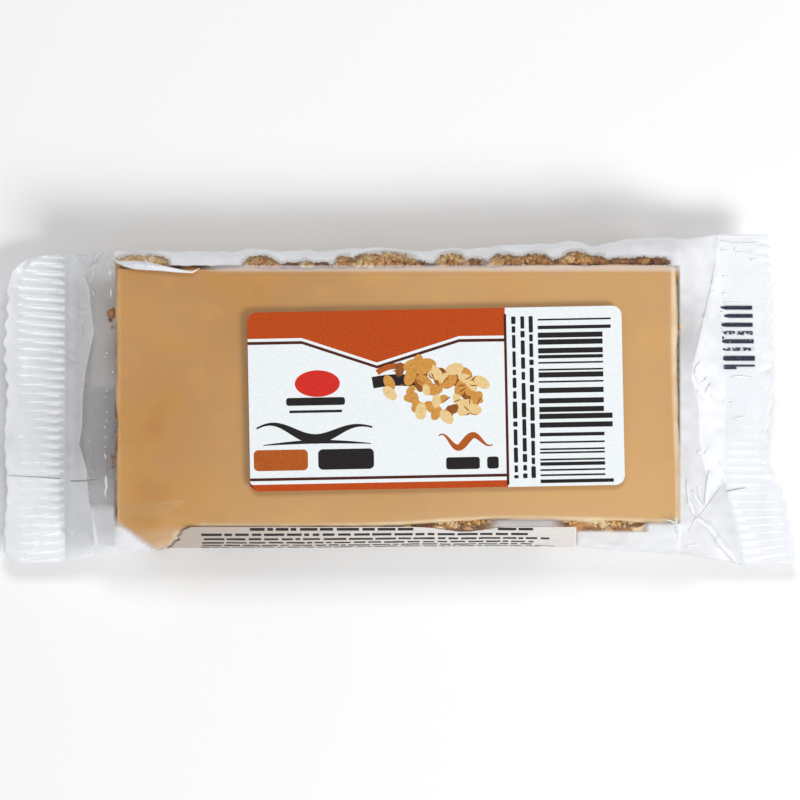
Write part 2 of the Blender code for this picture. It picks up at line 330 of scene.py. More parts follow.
def keep_in_film(p, margin, clumps=True):
    """Points moved just inside the film: each side limits y, the underside and top limit z. At
    the front left they stay behind the caramel run. At the back the film stands off, and only
    the clumps reach out towards it."""
    p = p.copy()
    front = front_face(p[:, 0], p[:, 2]) + margin + RUN_CLEAR * rise(-37.5, -39.5, p[:, 0])
    back = back_face(p[:, 0], p[:, 2]) - margin
    if clumps:
        limit = CLUMP_FOOT_Y + CLUMP_REACH * swell(p[:, 0], (), BACK_CRAGS[:6])
        back = np.minimum(back, limit + 0.45 * lumps(p * (1, 0.3, 1), 1.7, 6) - margin)
    recessed = rise(RECESS_X - 1, RECESS_X, p[:, 0])
    front = np.maximum(front, front * (1 - recessed) + RECESS_Y * recessed)
    p[:, 1] = np.clip(p[:, 1], front, back)
    p[:, 0] = np.clip(p[:, 0], BLOCK_LEFT - 0.1, BLOCK_RIGHT + 0.1)
    p[:, 2] = np.clip(p[:, 2], OATS_FOOT_Z, OATS_TOP_Z)
    return p


points = keep_in_film(points, FILM_CLEAR + 0.2)
tones = 0.62 + 0.16 * lumps(points, 3.0, 4) - 0.1 * lumps(points, 9.0, 5)
tones = tones - 0.08 * (np.abs(points[:, 1]) > 24)
put_mesh("oat_core", points, faces, baked_oats, values={"tone": tones})


# Oat flakes
# Rolled oats, flattened ovals with a crease along the middle, lying in the cut sides at all
# angles. Smaller chips fill the places between them.

FLAKE_AROUND = 10


def flake_shape():
    """An oval disc: a rim of ten points, an inner ring raised above and below it, and a middle
    point on each side pressed in to leave the crease. Unit half length."""
    angle = np.linspace(0, 2 * math.pi, FLAKE_AROUND, endpoint=False)
    rim = np.stack((np.cos(angle), 0.78 * np.sin(angle), 0 * angle), 1)
    ring = rim * (0.6, 0.6, 0)
    above = ring + np.stack((0 * angle, 0 * angle, 0.17 + 0.05 * np.sin(angle) ** 2), 1)
    below = ring - (0, 0, 0.17)
    middle = np.array([(0, 0, 0.13), (0, 0, -0.14)])
    shape = np.concatenate((rim, above, below, middle))
    n = FLAKE_AROUND
    i = np.arange(n)
    j = (i + 1) % n
    top = 3 * n + 0 * i
    rows = [np.stack((i, j, n + j), 1), np.stack((i, n + j, n + i), 1),
            np.stack((n + i, n + j, top), 1), np.stack((j, i, 2 * n + i), 1),
            np.stack((j, 2 * n + i, 2 * n + j), 1), np.stack((2 * n + j, 2 * n + i, top + 1), 1)]
    return shape, np.concatenate(rows)


def chip_shape():
    """A rough chip: the twelve corners of an icosahedron."""
    g = (1 + math.sqrt(5)) / 2
    shape = np.array([(-1, g, 0), (1, g, 0), (-1, -g, 0), (1, -g, 0), (0, -1, g), (0, 1, g),
                      (0, -1, -g), (0, 1, -g), (g, 0, -1), (g, 0, 1), (-g, 0, -1), (-g, 0, 1)])
    rows = np.array([(0, 11, 5), (0, 5, 1), (0, 1, 7), (0, 7, 10), (0, 10, 11), (1, 5, 9),
                     (5, 11, 4), (11, 10, 2), (10, 7, 6), (7, 1, 8), (3, 9, 4), (3, 4, 2),
                     (3, 2, 6), (3, 6, 8), (3, 8, 9), (4, 9, 5), (2, 4, 11), (6, 2, 10),
                     (8, 6, 7), (9, 8, 1)])
    return shape / np.linalg.norm(shape[0]), rows


def side_places(rng, low, high, axis, level, way, spacing):
    """Jittered grid of places on one side of the bar, with the outward direction of that side."""
    others = [a for a in range(3) if a != axis]
    lines = [np.arange(low[a] + spacing / 2, high[a], spacing) for a in others]
    first, second = np.meshgrid(*lines, indexing="ij")
    where = np.zeros((first.size, 3))
    where[:, others[0]] = first.ravel()
    where[:, others[1]] = second.ravel()
    where[:, others] += rng.uniform(-0.5, 0.5, (first.size, 2)) * spacing
    where[:, axis] = level
    out = np.zeros_like(where)
    out[:, axis] = way
    return where, out


def scatter(rng, kind, where, out, sizes, tilt, roughness):
    """One copy of this kind at each place: its own z leans off the outward direction by a random
    tilt, its length points any way, and each corner is moved a little."""
    shape, rows = kind
    count = len(where)
    up = out + tilt * rng.normal(size=(count, 3))
    up = up / np.linalg.norm(up, axis=1, keepdims=True)
    along = np.cross(up, rng.normal(size=(count, 3)))
    along = along / np.linalg.norm(along, axis=1, keepdims=True)
    across = np.cross(up, along)
    local = shape[None] * (1 + roughness * rng.normal(size=(count, len(shape), 1)))
    local = local * sizes[:, None, :]
    p = (local[..., 0:1] * along[:, None] + local[..., 1:2] * across[:, None]
         + local[..., 2:3] * up[:, None] + where[:, None])
    numbers = rows[None] + (np.arange(count) * len(shape))[:, None, None]
    return p.reshape(-1, 3), numbers.reshape(-1, rows.shape[1])


# Sides of the bar: axis, level, outward way, grid spacing, tilt of the flakes
SIDES = ((1, CORE_LOW[1] - 0.1, -1, 3.3, 0.45), (1, CORE_HIGH[1] + 0.3, 1, 3.1, 0.55),
         (0, CORE_LOW[0] + 0.1, -1, 3.2, 0.45), (0, CORE_HIGH[0] - 0.1, 1, 3.2, 0.45),
         (2, CORE_LOW[2] + 0.1, -1, 4.4, 0.2))
SIDE_LOW = (-52.6, -25.2, 2.0)
SIDE_HIGH = (51.8, 26.4, 13.9)

FLAKE = flake_shape()
CHIP = chip_shape()
CHIP_SPACING = 2.3
# How much darker the points of a flake are: rim, the rings on both sides, the crease
FLAKE_TONES = np.concatenate((np.full(FLAKE_AROUND, 0.16), np.full(2 * FLAKE_AROUND, -0.02),
                              (0.1, 0.1)))

rng = np.random.default_rng(31)
parts = []
tones = []
for axis, level, way, spacing, tilt in SIDES:
    where, out = side_places(rng, SIDE_LOW, SIDE_HIGH, axis, level, way, spacing)
    count = len(where)
    where[:, axis] += rng.normal(0, 0.35, count)
    half = rng.uniform(1.9, 3.3, count)
    sizes = np.stack((half, half * rng.uniform(0.8, 1.05, count), rng.uniform(1.5, 2.6, count)), 1)
    parts.append(scatter(rng, FLAKE, where, out, sizes, tilt, 0.09))
    base_tone = np.clip(rng.normal(0.36, 0.2, count), 0.02, 0.92)
    tones.append((base_tone[:, None] + FLAKE_TONES).ravel())
points, faces = joined(parts)
put_mesh("oat_flakes", keep_in_film(points, FILM_CLEAR), faces, baked_oats,
         values={"tone": np.concatenate(tones)})

parts = []
tones = []
for axis, level, way, _, _ in SIDES[:4]:
    where, out = side_places(rng, SIDE_LOW, SIDE_HIGH, axis, level, way, CHIP_SPACING)
    count = len(where)
    where[:, axis] += way * 0.2 + rng.normal(0, 0.3, count)
    parts.append(scatter(rng, CHIP, where, out, rng.uniform(0.35, 1.0, (count, 3)), 1.0, 0.15))
    tones.append(np.repeat(np.clip(rng.normal(0.5, 0.24, count), 0.0, 1.0), len(CHIP[0])))
points, faces = joined(parts)
put_mesh("oat_chips", keep_in_film(points, FILM_CLEAR), faces, baked_oats,
         values={"tone": np.concatenate(tones)})


# Clumps that stand out beyond the caramel along the back and the front: middle x, half width, y
# where they start, reach (backwards if positive), how dark, height they reach
CLUMPS = ((-49.5, 5.6, 25.6, 1.9, 0.16, 16.0), (-26.6, 3.4, 25.0, 2.3, 0.3, 16.0),
          (-20.8, 2.6, 25.2, 0.7, 0.6, 15.5), (-18.0, 1.2, 25.2, 1.3, 0.1, 16.2),
          (-15.0, 2.4, 25.2, 0.8, 0.55, 15.5), (-10.6, 1.9, 25.3, 2.1, 0.34, 16.2),
          (-3.0, 6.6, 25.3, 2.7, 0.32, 16.4), (2.5, 4.0, 25.2, 1.0, 0.6, 15.8),
          (9.8, 2.9, 25.4, 2.6, 0.34, 16.3), (14.4, 1.8, 25.5, 1.3, 0.45, 15.8),
          (20.0, 3.1, 25.6, 2.1, 0.36, 16.2), (25.7, 3.2, 25.7, 2.1, 0.38, 16.2),
          (30.2, 2.0, 25.8, 0.9, 0.6, 15.5), (33.5, 2.9, 25.9, 2.4, 0.34, 16.4),
          (37.6, 1.8, 25.9, 1.5, 0.4, 15.8), (45.0, 6.5, 26.0, 0.9, 0.5, 15.8),
          (12.2, 5.6, -23.5, -1.7, 0.16, 15.9), (32.4, 2.1, -23.2, -1.5, 0.1, 15.9),
          (40.8, 6.0, -23.2, -1.9, 0.08, 15.9))
BACK_CLUMPS = CLUMPS[:16]
CLUMP_CLEAR = 0.15
rng = np.random.default_rng(53)
parts = []
tones = []
for middle, half, foot_y, reach, dark, high in CLUMPS:
    for kind, many, size in ((FLAKE, 5, 1.15), (CHIP, 16, 0.5)):
        count = int(many * half * max(0.7, abs(reach)))
        side = rng.uniform(-1, 1, count)
        out = rng.uniform(0, 1, count) ** 0.7
        dome = np.sqrt(1 - 0.85 * side ** 2)
        x = middle + half * side
        y = foot_y + reach * (out * dome - 0.15)
        z = high - 0.5 - 2.2 * out ** 2 - rng.uniform(0, 1.6, count)
        up = np.stack((0.4 * side, np.sign(reach) * out, 1.1 + 0 * x), 1)
        sizes = size * rng.uniform(0.6, 1.15, (count, 3)) * (1, 0.85, 1)
        parts.append(scatter(rng, kind, np.stack((x, y, z), 1), up, sizes, 0.5, 0.1))
        tone = dark + 0.22 * out * rng.normal(size=count) + 0.3 * (1 - out) * (side > -0.3)
        tones.append(np.repeat(np.clip(tone, 0.05, 0.9), len(kind[0])))
points, faces = joined(parts)
put_mesh("oat_clumps", keep_in_film(points, CLUMP_CLEAR, clumps=False), faces, baked_oats,
         values={"tone": np.concatenate(tones)})


# Loose crumbs
# Bits that fell off the ends of the bar and lie in the slack film there: amber syrup crumbs at
# the left, pale yellow ones at the right.

# Crumbs: x, y, z, size
CRUMBS = ((-55.0, 16.4, 12.0, 1.05), (-55.2, 15.3, 11.0, 0.8), (-54.9, 17.3, 11.6, 0.6),
          (-54.9, 14.0, 10.5, 0.45), (-54.9, -10.6, 8.0, 0.6), (-54.7, -11.6, 8.5, 0.45),
          (-54.8, -12.6, 7.5, 0.35), (53.6, 14.2, 12.6, 0.85), (53.9, 13.5, 11.8, 0.6),
          (53.3, 15.6, 12.0, 0.35), (53.3, 17.4, 12.4, 0.3), (53.3, 11.6, 12.4, 0.3),
          (53.4, 7.7, 13.0, 0.25), (53.5, 3.8, 13.2, 0.3), (53.6, 1.2, 13.0, 0.25),
          (54.1, -20.3, 12.8, 0.4), (53.8, -12.0, 12.8, 0.25))
spots = np.array(CRUMBS)
sizes = spots[:, 3:4] * rng.uniform(0.6, 1.1, (len(spots), 3))
points, faces = scatter(rng, CHIP, spots[:, :3], np.tile((0.0, 0, 1), (len(spots), 1)), sizes,
                        0.8, 0.18)

# Baked syrup: clear amber to honey yellow, glossy
syrup, tree = new_material("baked_syrup_crumb")
tone = point_number(tree, "tone")
amber = ramp(tree, (tone, "Fac"), ((0.1, "#EBC23A"), (0.45, "#D08A18"), (0.85, "#9C5E12")))
glaze = add_node(tree, "ShaderNodeBsdfPrincipled", {"Base Color": (amber, 0), "Roughness": 0.25,
                 "IOR": 1.5})
put_surface(tree, glaze)

crumb_tones = np.where(spots[:, 0] < 0, 0.6, 0.3) + rng.normal(0, 0.14, len(spots))
put_mesh("loose_crumbs", points, faces, syrup,
         values={"tone": np.repeat(crumb_tones, len(CHIP[0]))})


# Caramel layer
# Soft caramel icing poured over the baked tray and cut with it: smooth on top, with a faint
# mottle, paler and a little ragged along the cut edges. Painted light makes it lighter towards the
# right and the front, with a painted highlight along the front and right edges.

SLAB_LOW = (-53.9, -24.8, 13.6)
SLAB_HIGH = (52.6, 24.8, 16.05)
SLAB_ROUND = 0.55
SLAB_SPACING = 0.45
EDGE_LIFT = 0.4
RIM_WIDE = 0.9
# Front cut edge: how far in from the layer's front it lies at these x
FRONT_CUT_X = (-38, -19, -8, 0, 9.5, 17, 23, 30, 38, 48)
FRONT_CUT_IN = (0.15, 0.05, 0.2, 0.5, 1.2, 1.55, 1.6, 1.55, 1.35, 1.0)

MOTTLE_MM = 14.0
SUGAR_MM = 0.35
SWIRL_MM = 5.0
caramel, tree = new_material("set_caramel_icing")
rim = point_number(tree, "rim")
mottle = noise(tree, MOTTLE_MM, 3.0, 0.55)
clouds = ramp(tree, (mottle, "Fac"), ((0.28, "#BC823E"), (0.42, "#C48E45"), (0.56, "#C08C51"),
                                      (0.74, "#CB9649")))
# Painted light: the colour turns lighter and more golden towards the right and front, where the key
# light falls
painted_light_share = point_number(tree, "light")
painted_lit_colour = towards(tree, painted_light_share, (clouds, 0), "#E9BF82")
# Cream along the cut edges, and a painted highlight along the front and right ones
pale_and_highlit = towards(tree, rim, painted_lit_colour, "#EFD9B4")
fine = bump(tree, noise(tree, SUGAR_MM, 2.0), 0.05, 0.05)
broad = bump(tree, noise(tree, SWIRL_MM, 2.0), 0.15, 0.25, fine)
icing = add_node(tree, "ShaderNodeBsdfPrincipled", {"Base Color": pale_and_highlit, "Roughness": 0.42,
                 "IOR": 1.46, "Subsurface Weight": 0.15, "Subsurface Scale": 0.0015,
                 "Normal": (broad, 0)})
put_surface(tree, icing)


def caramel_painted_light(x, y):
    """Painted light on the icing: lighter towards the right and the front, where the key light
    falls, with soft patches of random tone.
    """
    spots = np.stack((x, y, 0 * x), -1)
    return (0.38 * rise(-48, 46, x) + 0.14 * rise(4, -24, y) + 0.07 * lumps(spots, 15.0, 16)
            + 0.03)


points, faces, outward = block_skin(SLAB_LOW, SLAB_HIGH, SLAB_ROUND, SLAB_SPACING)
low = np.array(SLAB_LOW)
high = np.array(SLAB_HIGH)
inside = np.minimum(points - low, high - points)
to_edge = np.minimum(inside[:, 0], inside[:, 1])
on_top = rise(SLAB_HIGH[2] - 1.2, SLAB_HIGH[2] - 0.3, points[:, 2])
# How pale it is: cream where the cut edges show, with a painted highlight along the front and right
# edges, which face the key light
back_rim = 0.08 * rise(high[1] - 1.2, high[1] - 0.7, points[:, 1]) * rise(-40, -30, points[:, 0])
front_rim_painted_highlight = rise(low[1] + RIM_WIDE, low[1] + 0.35, points[:, 1]) * rise(-40, -37, points[:, 0])
right_rim_painted_highlight = rise(high[0] - 1.5, high[0] - 0.6, points[:, 0])
left_rim = 0.3 * rise(low[0] + 0.9, low[0] + 0.3, points[:, 0])
side_rim = 0.5 * rise(high[2] - 0.4, high[2] - 1.2, points[:, 2])
rims_and_painted_highlight = np.max((back_rim, front_rim_painted_highlight, right_rim_painted_highlight, left_rim, side_rim), axis=0)
rims_and_painted_highlight = np.clip(rims_and_painted_highlight * (0.85 + 0.3 * lumps(points, 1.8, 15)), 0, 1)
lights = caramel_painted_light(points[:, 0], points[:, 1])

points = points + outward * (0.1 * lumps(points, 1.6, 11) * (1 - on_top))[:, None]
sideways = outward * (1, 1, 0)
uneven = 0.28 * lumps(points, 6.0, 12) + 0.14 * lumps(points, 2.2, 13)
points = points + sideways * uneven[:, None]
lift = EDGE_LIFT * np.exp(-np.maximum(to_edge, 0) / 1.6) + 0.12 * lumps(points, 12.0, 14)
points[:, 2] += lift * on_top * rise(52.6, 51.6, points[:, 0])
# The cut runs a little askew: out at the back and right, in along the middle of the front
across = (points[:, 1] - low[1]) / (high[1] - low[1])
points[:, 1] += 0.6 * rise(-10, 45, points[:, 0]) * rise(0.5, 1, across)
points[:, 1] += np.interp(points[:, 0], FRONT_CUT_X, FRONT_CUT_IN) * rise(0.3, 0, across)
points[:, 0] += (0.1 + 0.8 * rise(10, -20, points[:, 1])) * rise(40, 52, points[:, 0])
# The front left corner droops where the icing ran down
points[:, 2] -= 1.2 * hump(points[:, 0], BLOCK_LEFT, 6) * rise(-15, -24.5, points[:, 1]) * on_top
points[:, 1] = np.maximum(points[:, 1], front_face(points[:, 0], points[:, 2]) + FILM_CLEAR)
points[:, 1] = np.minimum(points[:, 1], back_face(points[:, 0], points[:, 2]) - FILM_CLEAR)
put_mesh("caramel_layer", points, faces, caramel,
         values={"rim": rims_and_painted_highlight, "light": lights})


# Caramel run
# At the front left corner the icing ran over the edge and set against the film, down to a ragged
# cream-coloured lower edge.

RUN_LEFT = -53.75
RUN_RIGHT = -37.6
RUN_START_Y = -18.5
RUN_FOOT_Z = 4.9
RUN_THICK = 1.5
RUN_GAP = 0.14
RUN_SINK = 0.9
RUN_SMOOTHING = 8
RUN_COLUMNS = 110
RUN_ROWS = 60
RUN_TURN = 0.3


def top_height(x, y):
    """Stretched top of the film: flat with a shallow sag, drooping at the front left corner."""
    sag = 0.22 * (1 - (y / 27) ** 2) * (1 - (x / 60) ** 2)
    droop = 1.3 * hump(x, BLOCK_LEFT, 7) * rise(-14, FRONT_TOP_Y, y)
    return TOP_Z - sag - droop


def run_edge(fall):
    """x of the run's ragged right edge, this share of the way down."""
    ragged = 0.5 * np.sin(17 * fall + 1) * np.sin(7 * fall) + 0.22 * np.sin(41 * fall)
    right = RUN_RIGHT - 3.4 * rise(-0.08, 0.12, fall) - 2.4 * rise(0.15, 0.65, fall)
    return right + ragged * rise(0, 0.1, fall)


def loop(upper, lower):
    """Rings that go one way over the upper points and back over the lower ones."""
    return np.concatenate((upper, lower[:, ::-1]), axis=1)


def run_side(depth):
    """Front of the run against the film (depth 0) or its back (depth 1). Across it goes from left
    to right, down it from the top of the icing, over the edge to the foot. The left edge slants
    inwards on the way down and the right edge is ragged."""
    across, down = np.meshgrid(np.linspace(0, 1, RUN_COLUMNS), np.linspace(0, 1, RUN_ROWS),
                               indexing="ij")
    fall = np.clip((down - RUN_TURN) / (1 - RUN_TURN), 0, 1)
    left = RUN_LEFT + 5.6 * fall ** 1.3
    x = left + (run_edge(fall) - left) * across
    sunk = RUN_SINK * rise(RUN_TURN - 0.02, 0.0, down)
    tucked = rise(0.5, 0.97, across) * rise(RUN_TURN + 0.1, RUN_TURN - 0.1, down)
    sunk = np.maximum(sunk, RUN_SINK * tucked)
    y = RUN_START_Y + (FRONT_TOP_Y + 0.5 - RUN_START_Y) * np.clip(down / RUN_TURN, 0, 1)
    level = TOP_Z + (RUN_FOOT_Z - TOP_Z) * fall
    high = np.clip((level - FRONT_BULGE_Z) / (TOP_Z - FRONT_BULGE_Z), 0, 1)
    face_y = front_face(x, level) + RUN_GAP
    face_z = level - 0.25 + (top_height(x, FRONT_TOP_Y) - TOP_Z) * high ** 3
    over = down > RUN_TURN
    y = np.where(over, face_y, y)
    z = np.where(over, face_z, top_height(x, y) - 2 * RUN_GAP)
    line = np.stack((x, y, z), -1)
    for _ in range(RUN_SMOOTHING):
        line[:, 1:-1] = (line[:, :-2] + 2 * line[:, 1:-1] + line[:, 2:]) / 4
    line[..., 2] -= sunk
    thin = RUN_THICK * depth * (1 - 0.8 * rise(0.9, 1.0, down))
    line[..., 1] += thin * rise(RUN_TURN - 0.15, RUN_TURN + 0.1, down)
    line[..., 2] -= thin * rise(RUN_TURN + 0.15, RUN_TURN - 0.05, down)
    return line


def tube(rings):
    """Points and faces of a closed skin over a row of rings, shaped (rings, points, 3). Each ring
    is joined to the next all the way round. The end rings are closed by strips from each point
    of the first half to the one as far from the other end of the ring."""
    count, size = rings.shape[:2]
    index = np.arange(count * size).reshape(count, size)
    after = np.roll(index, -1, axis=1)
    walls = np.stack((index[:-1], index[1:], after[1:], after[:-1]), -1).reshape(-1, 4)
    ends = []
    i = np.arange(size // 2 - 1)
    for ring in (index[0], index[-1]):
        ends.append(np.stack((ring[i], ring[i + 1], ring[size - 2 - i], ring[size - 1 - i]), 1))
    return rings.reshape(-1, 3), np.concatenate([walls] + ends)


points, faces = tube(loop(run_side(0.0), run_side(1.0)))
down = np.tile(np.concatenate((np.linspace(0, 1, RUN_ROWS), np.linspace(1, 0, RUN_ROWS))),
               RUN_COLUMNS)
across = np.repeat(np.linspace(0, 1, RUN_COLUMNS), 2 * RUN_ROWS)
run_rim = 0.85 * rise(0.8, 0.95, across) * rise(RUN_TURN + 0.02, RUN_TURN + 0.15, down)
run_rim = np.maximum(run_rim, 0.3 * rise(0.05, 0.0, across))
# The run takes the same painted light as the layer
put_mesh("caramel_run", points, faces, caramel,
         values={"rim": run_rim, "light": caramel_painted_light(points[:, 0], points[:, 1])})


# Film bag
# Clear oriented polypropylene, formed into a tube round the bar, tight over its top and sides,
# and drawn down to the flat end seals in creased slack ends.

LEFT_OUTER = -75.3
LEFT_INNER = -63.9
LEFT_FRONT, LEFT_BACK = -30.5, 28.4
LEFT_CORNER_BACK = (7.6, 7.6)
LEFT_CORNER_FRONT = (2.6, 2.6)
LEFT_HEIGHT = 5.0
RIGHT_OUTER = 70.6
RIGHT_INNER = 61.0
RIGHT_FRONT, RIGHT_BACK = -30.9, 32.1
RIGHT_OUTER_RISES = ((-10, -21.5, 3.4), (-20, -29, 1.3))
RIGHT_OUTER_BUMPS = ((5.5, 5, 0.8), (-8, 4, -0.6), (6.2, 0.7, -1.6))
# Teeth torn out of the back corner of the right seal
RIGHT_TEARS = ((30.4, 0.45, -1.3), (28.5, 0.35, -0.9), (26.8, 0.4, -0.8))
RIGHT_INNER_RISES = ((28, 0, 1.0), (-12, -34, 3.6))
RIGHT_HEIGHT = 4.8
RIGHT_HEIGHT_RISES = ((-6, 32, 2.6),)
SCALLOP_PITCH = 3.32
# Ribs of each seal: distance from one to the next, and y of one crest
LEFT_RIBS = (1.645, 19.44)
RIGHT_RIBS = (1.588, -19.3)


# How steeply the camera looks down
ELEVATION = math.radians(85)


def seen(y, z):
    """Height in the camera's picture, in mm."""
    return y * math.sin(ELEVATION) + z * math.cos(ELEVATION)


def ridge(y, ribs):
    """Ribs across a seal: 0 in the grooves and 1 on the flat crests, and how far over the crest
    from -0.5 to 0.5, as a share of the distance between ribs."""
    pitch, crest_y = ribs
    share = np.mod((y - crest_y) / pitch + 0.5, 1.0)
    return rise(0.12, 0.32, share) - rise(0.66, 0.88, share), share - 0.5


def rounded(reach, size):
    """How far an edge is cut back at a round corner: an ellipse's quarter, this far into it."""
    along, across = size
    k = np.clip(reach / across, 0, 1)
    return along * (1 - np.sqrt(1 - k * k))


def seal_left(y):
    """Outer x, inner x and height of the left seal at y."""
    waved = 0.12 + 0.16 * rise(-3, 4, y) * rise(22, 19, y)
    outer = LEFT_OUTER + waved * np.cos(2 * math.pi * y / SCALLOP_PITCH)
    outer = outer + 0.25 * np.sin(y * 0.35 + 1)
    outer = outer + rounded(y - (LEFT_BACK - LEFT_CORNER_BACK[1]), LEFT_CORNER_BACK)
    outer = outer + rounded(LEFT_FRONT + LEFT_CORNER_FRONT[1] - y, LEFT_CORNER_FRONT)
    return outer, LEFT_INNER + 0 * y, LEFT_HEIGHT + 0.5 * np.sin(y / 9 + 0.5)


def seal_right(y):
    """Outer x, inner x and height of the right seal at y."""
    outer = RIGHT_OUTER + 0.26 * np.cos(2 * math.pi * y / SCALLOP_PITCH)
    outer = outer + swell(y, RIGHT_OUTER_RISES, RIGHT_OUTER_BUMPS + RIGHT_TEARS)
    inner = RIGHT_INNER + swell(y, RIGHT_INNER_RISES)
    height = RIGHT_HEIGHT + swell(y, RIGHT_HEIGHT_RISES) + 0.25 * np.sin(y / 3.6)
    return outer, inner, height


# Points round the film: up the front, over the top, down the back, then as many under and back
# up, so that each end closes straight across
ROUND_FRONT, ROUND_TOP, ROUND_BACK = 24, 150, 28
ROUND_LOW_BACK, ROUND_UNDER, ROUND_LOW_FRONT = 20, 162, 20


def film_round(x):
    """Section of the film round the bar at each x, as (y, z). The sides follow front_face and
    back_face, with points closer together towards the edges, and the top follows top_height."""
    x = x[:, None]
    quarter = math.pi / 2
    i = np.arange(ROUND_FRONT) / ROUND_FRONT
    z1 = FRONT_BULGE_Z + (TOP_Z - FRONT_BULGE_Z) * np.sin(quarter * i) + 0 * x
    y1 = front_face(x + 0 * z1, z1)
    z1 = z1 + (top_height(x, FRONT_TOP_Y) - TOP_Z) * np.sin(quarter * i) ** 3
    y2 = np.linspace(FRONT_TOP_Y, BACK_TOP_Y, ROUND_TOP) + 0 * x
    z2 = top_height(x, y2)
    i = np.arange(1, ROUND_BACK + 1) / ROUND_BACK
    z3 = TOP_Z + (BACK_BULGE_Z - TOP_Z) * (1 - np.cos(quarter * i)) + 0 * x
    y3 = back_face(x + 0 * z3, z3)
    i = np.arange(1, ROUND_LOW_BACK + 1) / ROUND_LOW_BACK
    z4 = BACK_BULGE_Z + (FOOT_Z - BACK_BULGE_Z) * np.sin(quarter * i) + 0 * x
    y4 = back_face(x + 0 * z4, z4)
    y5 = np.linspace(BACK_FOOT_Y, FRONT_FOOT_Y, ROUND_UNDER + 2)[1:-1] + 0 * x
    z5 = FOOT_Z + 0 * y5
    i = np.arange(ROUND_LOW_FRONT) / ROUND_LOW_FRONT
    z6 = FOOT_Z + (FRONT_BULGE_Z - FOOT_Z) * (1 - np.cos(quarter * i)) + 0 * x
    y6 = front_face(x + 0 * z6, z6)
    y = np.concatenate((y1, y2, y3, y4, y5, y6), axis=1)
    z = np.concatenate((z1, z2, z3, z4, z5, z6), axis=1)
    return y, z


def creased(x, y, lines):
    """Height of sharp folds at (x, y): for each line (x0, y0, x1, y1, half width, height) a tent
    that falls to nothing at the half width, highest midway along the line."""
    total = np.zeros_like(x)
    for x0, y0, x1, y1, half, height in lines:
        dx = x1 - x0
        dy = y1 - y0
        along = np.clip(((x - x0) * dx + (y - y0) * dy) / (dx * dx + dy * dy), 0, 1)
        off = np.hypot(x - x0 - along * dx, y - y0 - along * dy)
        total = total + height * np.clip(1 - off / half, 0, 1) ** 1.5
    return total


# Folds that show in the slack ends: from x and height in the picture to the same, half width,
# height
LEFT_FOLDS = ((-57.5, 28.4, -59.2, 26.4, 0.9, 0.7), (-58.1, 26.2, -58.8, 23.4, 0.8, 0.5),
              (-61.0, 27.8, -60.2, 25.0, 0.8, 0.5), (-60.2, 25.0, -59.1, 20.0, 0.9, 0.4),
              (-59.1, 20.0, -58.3, 14.0, 1.0, 0.5), (-58.3, 14.0, -59.7, 7.7, 1.0, 0.5),
              (-59.7, 7.7, -60.6, -3.7, 1.0, 0.5), (-61.2, -7.5, -59.6, -14.0, 0.9, 0.5),
              (-59.6, -14.0, -58.2, -26.0, 0.9, 0.5), (-61.8, 19.6, -60.0, 18.5, 0.6, 0.4),
              (-63.6, 17.7, -62.9, 16.6, 0.5, 0.3), (-62.9, 10.7, -61.8, 9.8, 0.5, 0.3),
              (-63.7, 9.4, -61.8, 8.0, 0.5, 0.3), (-56.0, -8.0, -55.9, -17.0, 0.5, 0.3),
              (-64.4, -24.1, -62.7, -24.3, 0.6, 0.4), (-57.0, -21.0, -56.0, -19.0, 0.5, 0.3))
RIGHT_FOLDS = ((60.6, 31.4, 59.5, 22.9, 1.0, 0.6), (59.5, 22.9, 58.0, 16.6, 1.0, 0.6),
               (58.0, 16.6, 55.7, 8.2, 0.9, 0.6), (57.0, 8.2, 56.3, 6.0, 0.6, 0.4),
               (56.3, 6.0, 58.2, 4.6, 0.6, 0.4), (56.7, 2.5, 57.8, 0.6, 0.5, 0.4),
               (58.2, 2.5, 59.1, 4.0, 0.5, 0.4), (59.3, 1.8, 60.5, 0.2, 0.6, 0.4),
               (56.8, -8.9, 58.9, -8.0, 0.6, 0.4), (61.0, -11.2, 62.2, -14.4, 0.6, 0.5),
               (62.2, -14.4, 57.8, -20.2, 0.8, 0.5), (54.7, -15.0, 55.1, -18.6, 0.7, 0.5),
               (55.1, -18.6, 56.5, -21.2, 0.7, 0.5), (55.7, -16.5, 57.8, -19.6, 0.5, 0.4),
               (58.8, -13.0, 58.0, -18.8, 0.7, 0.5), (56.3, -21.6, 58.6, -22.9, 1.0, 0.8),
               (58.6, -22.9, 60.6, -25.6, 1.1, 1.0), (60.6, -25.6, 65.0, -30.6, 1.0, 0.9),
               (54.4, -27.0, 57.0, -26.6, 0.6, 0.4))
SLACK_HALF = 0.13
LOWEST = 0.12


